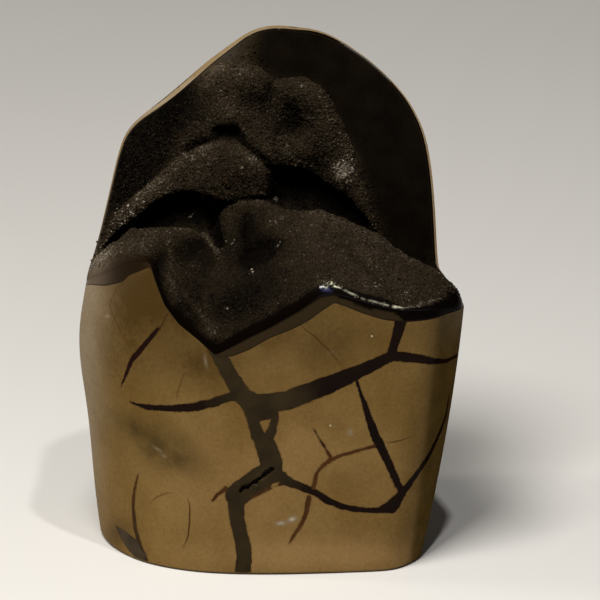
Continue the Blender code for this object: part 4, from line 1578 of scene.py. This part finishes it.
# the painted sheen, and above it the real chips in SPECK
body = laid_over(tree, body, on_sheen_and_chips, between(tree, cloud, 0.3, 0.6, 0.6, 1.0), PAINTED_SHEEN)
body = blend(tree, between(tree, on_sheen_and_chips, 1.1, 2.0), body, SPECK)
body = times(tree, body, between(tree, grain, 0.25, 0.75, 0.86, 1.12))
dots = put(tree, "ShaderNodeTexVoronoi", {"Vector": place, "Scale": 1 / 0.0075, "Randomness": 1.0})
near_dot = between(tree, dots.outputs["Distance"], 0.035, 0.06, 1.0, 0.0)
some_dots = between(tree, noise(tree, place, 0.02, 2.0), 0.55, 0.6)
body = laid_over(tree, body, near_dot, some_dots, SPECK)
print("limestone body:", len(tree.nodes), "nodes")

# %% [markdown]
# ### Veins and hairlines in the limestone
#
# The veins are cut out of the limestone by the distance kept on its points, with two sorts of noise added
# so that their edges wander as cracks do. Iron has stained the limestone rusty beside them. A hairline is
# where the signed distance is near nought. The slit is nearly black inside.

# %% Veins, hairlines and the limestone's relief
RUST = (0.050, 0.019, 0.004)
SLIT_COLOUR = (0.006, 0.0035, 0.002)
VEIN_SOFTNESS = 0.10


def round_nought(tree, size, reach):
    """Noise from minus to plus half the reach, in swells of this size."""
    return maths(tree, "MULTIPLY", maths(tree, "SUBTRACT", noise(tree, place, size, 2.0), 0.5), reach)


wander = round_nought(tree, 0.0028, 0.9)
fret = round_nought(tree, 0.0007, 0.35)
vein = maths(tree, "ADD", value_on_points(tree, "vein_edge"), maths(tree, "ADD", wander, fret))
in_vein = between(tree, vein, -VEIN_SOFTNESS, VEIN_SOFTNESS, 1.0, 0.0)
beside_vein = between(tree, vein, 0.0, 0.55, 0.55, 0.0)
body = laid_over(tree, body, beside_vein, between(tree, streaks, 0.4, 0.6, 0.3, 1.0), RUST)
vein_tone = between(tree, streaks, 0.3, 0.7, 0.75, 1.35)
calcite = times(tree, value_on_points(tree, "vein_colour", "Color"), vein_tone)
hair = put(tree, "ShaderNodeSeparateXYZ", {0: value_on_points(tree, "hairline", "Vector")})
hair_wander = maths(tree, "ADD", hair.outputs[0], maths(tree, "MULTIPLY", wander, 0.35))
on_hair = between(tree, maths(tree, "ABSOLUTE", hair_wander), 0.13, 0.42, 1.0, 0.0)
on_hair = maths(tree, "MULTIPLY", on_hair, between(tree, hair.outputs[1], 0.8, 1.2, 1.0, 0.0))
body = laid_over(tree, body, on_hair, between(tree, hair.outputs[2], 0.0, 1.0), RUST)
skin = blend(tree, in_vein, body, calcite)
slit = value_on_points(tree, "slit")
skin = blend(tree, between(tree, slit, 0.15, 0.6), skin, SLIT_COLOUR)
gloss = maths(tree, "ADD", between(tree, cloud, 0.3, 0.7, 0.22, 0.34), maths(tree, "MULTIPLY", slit, 0.5))
relief = maths(tree, "ADD", maths(tree, "MULTIPLY", grain, 0.25), maths(tree, "MULTIPLY", in_vein, -0.3))
bump = put(tree, "ShaderNodeBump", {"Strength": 0.25, "Distance": 0.00006, "Height": relief})
tree.links.new(skin, shader.inputs["Base Color"])
tree.links.new(gloss, shader.inputs["Roughness"])
tree.links.new(value_on_points(tree, "wax"), shader.inputs["Coat Weight"])
tree.links.new(bump.outputs["Normal"], shader.inputs["Normal"])
limestone.data.materials.append(material)
print("limestone finish:", len(tree.nodes), "nodes")

# %% [markdown]
# ### Dark calcite
#
# The crust is brown-black calcite. Where crystals cover it, it looks like velvet: dull from one side and
# greyish from another. Where the hollow's wall is one large crystal face, and where the edge was cut and
# polished, it is dark glass. The tone kept on the points, painted light and shade included, takes the
# colour from black over brown and grey to pale, the cut edge has colours of its own, the painted
# highlights kept as glint colour are added on top, and the kept polish is the weight of a clear coat.

# %% Crust finish
CALCITE_BLACK = (0.0018, 0.0013, 0.0009)
CALCITE_BROWN = (0.0120, 0.0082, 0.0042)
CALCITE_GREY = (0.0345, 0.0250, 0.0145)
CALCITE_PALE = (0.250, 0.210, 0.160)
RUSTY = (0.0260, 0.0130, 0.0065)
UNEVEN_TONE = 0.24


def calcite_colour(tree, tone):
    """Black to brown to grey as the tone goes from nought to one, and on to pale at two."""
    lower = blend(tree, between(tree, tone, 0.0, 0.5), CALCITE_BLACK, CALCITE_BROWN)
    middle = blend(tree, between(tree, tone, 0.45, 1.0), lower, CALCITE_GREY)
    return blend(tree, between(tree, tone, 1.0, 2.0), middle, CALCITE_PALE)


material, tree, shader, place = new_material("dark calcite", 0.4, 0.01)
shader.inputs["Coat Roughness"].default_value = 0.12
patches = mottled(tree, place, 0.007, 0.4)
smoothness = value_on_points(tree, "smooth")
patchy = between(tree, patches, 0.3, 0.7, -UNEVEN_TONE, UNEVEN_TONE)
uneven = maths(tree, "MULTIPLY", patchy, between(tree, smoothness, 0.0, 1.0, 1.0, 0.4))
skin = calcite_colour(tree, maths(tree, "ADD", value_on_points(tree, "tone"), uneven))
skin = blend(tree, maths(tree, "MULTIPLY", value_on_points(tree, "rust"), 0.6), skin, RUSTY)
skin = blend(tree, value_on_points(tree, "cut_band"), skin, value_on_points(tree, "cut_colour", "Color"))
# painted highlights: the glint colour kept on the points is added to the skin
skin = blend(tree, 1.0, skin, value_on_points(tree, "glint", "Color"), "ADD")
tree.links.new(skin, shader.inputs["Base Color"])
fine_gloss = between(tree, patches, 0.3, 0.7, 0.85, 1.15)
gloss = maths(tree, "MULTIPLY", between(tree, smoothness, 0.0, 1.0, 0.82, 0.22), fine_gloss)
tree.links.new(gloss, shader.inputs["Roughness"])
sugar = noise(tree, place, 0.0008, 3.0, 0.7)
sugar = maths(tree, "MULTIPLY", sugar, between(tree, smoothness, 0.0, 1.0, 1.0, 0.12))
bump = put(tree, "ShaderNodeBump", {"Strength": 0.9, "Distance": 0.0004, "Height": sugar})
tree.links.new(bump.outputs["Normal"], shader.inputs["Normal"])
tree.links.new(value_on_points(tree, "polish"), shader.inputs["Coat Weight"])
crust.data.materials.append(material)
print("crust finish:", len(tree.nodes), "nodes")

# %% [markdown]
# ### Crystal points
#
# The small crystals are the same calcite as the crust under them, so they take its colours by their own
# kept tone, painted light and shade included, and their flat faces are smooth enough to flash. The pale
# ones in the pale cluster are clearer calcite; the others stand where the druse sparkles and along the
# glinting edge, and their pale colour is a painted highlight. The pale ones alone have a strong reflection.

# %% Crystal finishes
FACE_ROUGHNESS = 0.12

brown_finish, tree, shader, place = new_material("crystal points", FACE_ROUGHNESS, 0.04)
speckled = between(tree, noise(tree, place, 0.003, 2.0), 0.3, 0.7, -0.12, 0.12)
speckled = maths(tree, "ADD", value_on_points(tree, "tone"), speckled)
tree.links.new(calcite_colour(tree, speckled), shader.inputs["Base Color"])
pale_finish, tree, shader, place = new_material("pale crystal points", FACE_ROUGHNESS, 0.3)
clear = between(tree, noise(tree, place, 0.002), 0.35, 0.65)
tree.links.new(blend(tree, clear, CALCITE_GREY, CALCITE_PALE), shader.inputs["Base Color"])
for name, made in crystal_pieces.items():
    pale = name in ("pale_crystals", "edge_crystals")
    made.data.materials.append(pale_finish if pale else brown_finish)
print("crystal finishes on", len(crystal_pieces), "pieces")

# %% [markdown]
# ## Floor and light
#
# A pale floor and large soft lights, as for a catalogue picture. The main light hangs high in front and a
# little to the left, where the photograph's is. A tall strip on the left draws the pale line down the
# polished left side, and one small lamp gives the crystals something sharp to flash back.

# %% Floor, lamps and surroundings
FLOOR_SIZE = 4.0
LAMPS = {
    # place, size in metres (across, up), watts, colour
    "main": ((-0.22, -0.42, 1.05), (0.42, 0.36), 13.0, (1.0, 0.97, 0.92)),
    "left strip": ((-0.80, 0.05, 0.30), (0.10, 0.60), 2.1, (1.0, 0.93, 0.82)),
    "small lamp": ((0.10, -0.30, 0.85), (0.03, 0.03), 2.0, (1.0, 0.98, 0.95)),
}
LIT_POINT = Vector((0, 0, 90 * MM))
SURROUNDINGS = (0.05, 0.05, 0.05)
FLOOR_GREYS = ((0.66, 0.65, 0.63), (0.70, 0.69, 0.67))

half = FLOOR_SIZE / 2
corners = np.array([(-half, -half, 0), (half, -half, 0), (half, half, 0), (-half, half, 0)])
floor = piece("floor", corners, np.array([(0, 1, 2), (0, 2, 3)]))
material, tree, shader, place = new_material("pale floor", 0.8, 0.2)
cloud = between(tree, noise(tree, place, 0.4), 0.3, 0.7)
tree.links.new(blend(tree, cloud, *FLOOR_GREYS), shader.inputs["Base Color"])
floor.data.materials.append(material)
for name, (spot, (across, upward), watts, colour) in LAMPS.items():
    lamp = bpy.data.lights.new(name, "AREA")
    lamp.shape, lamp.size, lamp.size_y = "RECTANGLE", across, upward
    lamp.energy, lamp.color = watts, colour
    holder = bpy.data.objects.new(name, lamp)
    holder.location = spot
    holder.rotation_mode = "QUATERNION"
    holder.rotation_quaternion = (Vector(spot) - LIT_POINT).to_track_quat("Z", "Y")
    bpy.context.scene.collection.objects.link(holder)
surroundings = bpy.data.worlds.new("surroundings")
surroundings.use_nodes = True
surroundings.node_tree.nodes["Background"].inputs["Color"].default_value = (*SURROUNDINGS, 1)
bpy.context.scene.world = surroundings
bpy.context.scene.view_settings.view_transform = "Standard"
print("lamps:", ", ".join(LAMPS))

# %% [markdown]
# ## Handing over
#
# Every piece rides on the object's one body. The two skins stand for the two solids, and the crystals lie
# on the crust.

# %% Hand over
for made in (limestone, crust, *crystal_pieces.values()):
    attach(made, "root")
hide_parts("nodule")
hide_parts("crystal_crust")
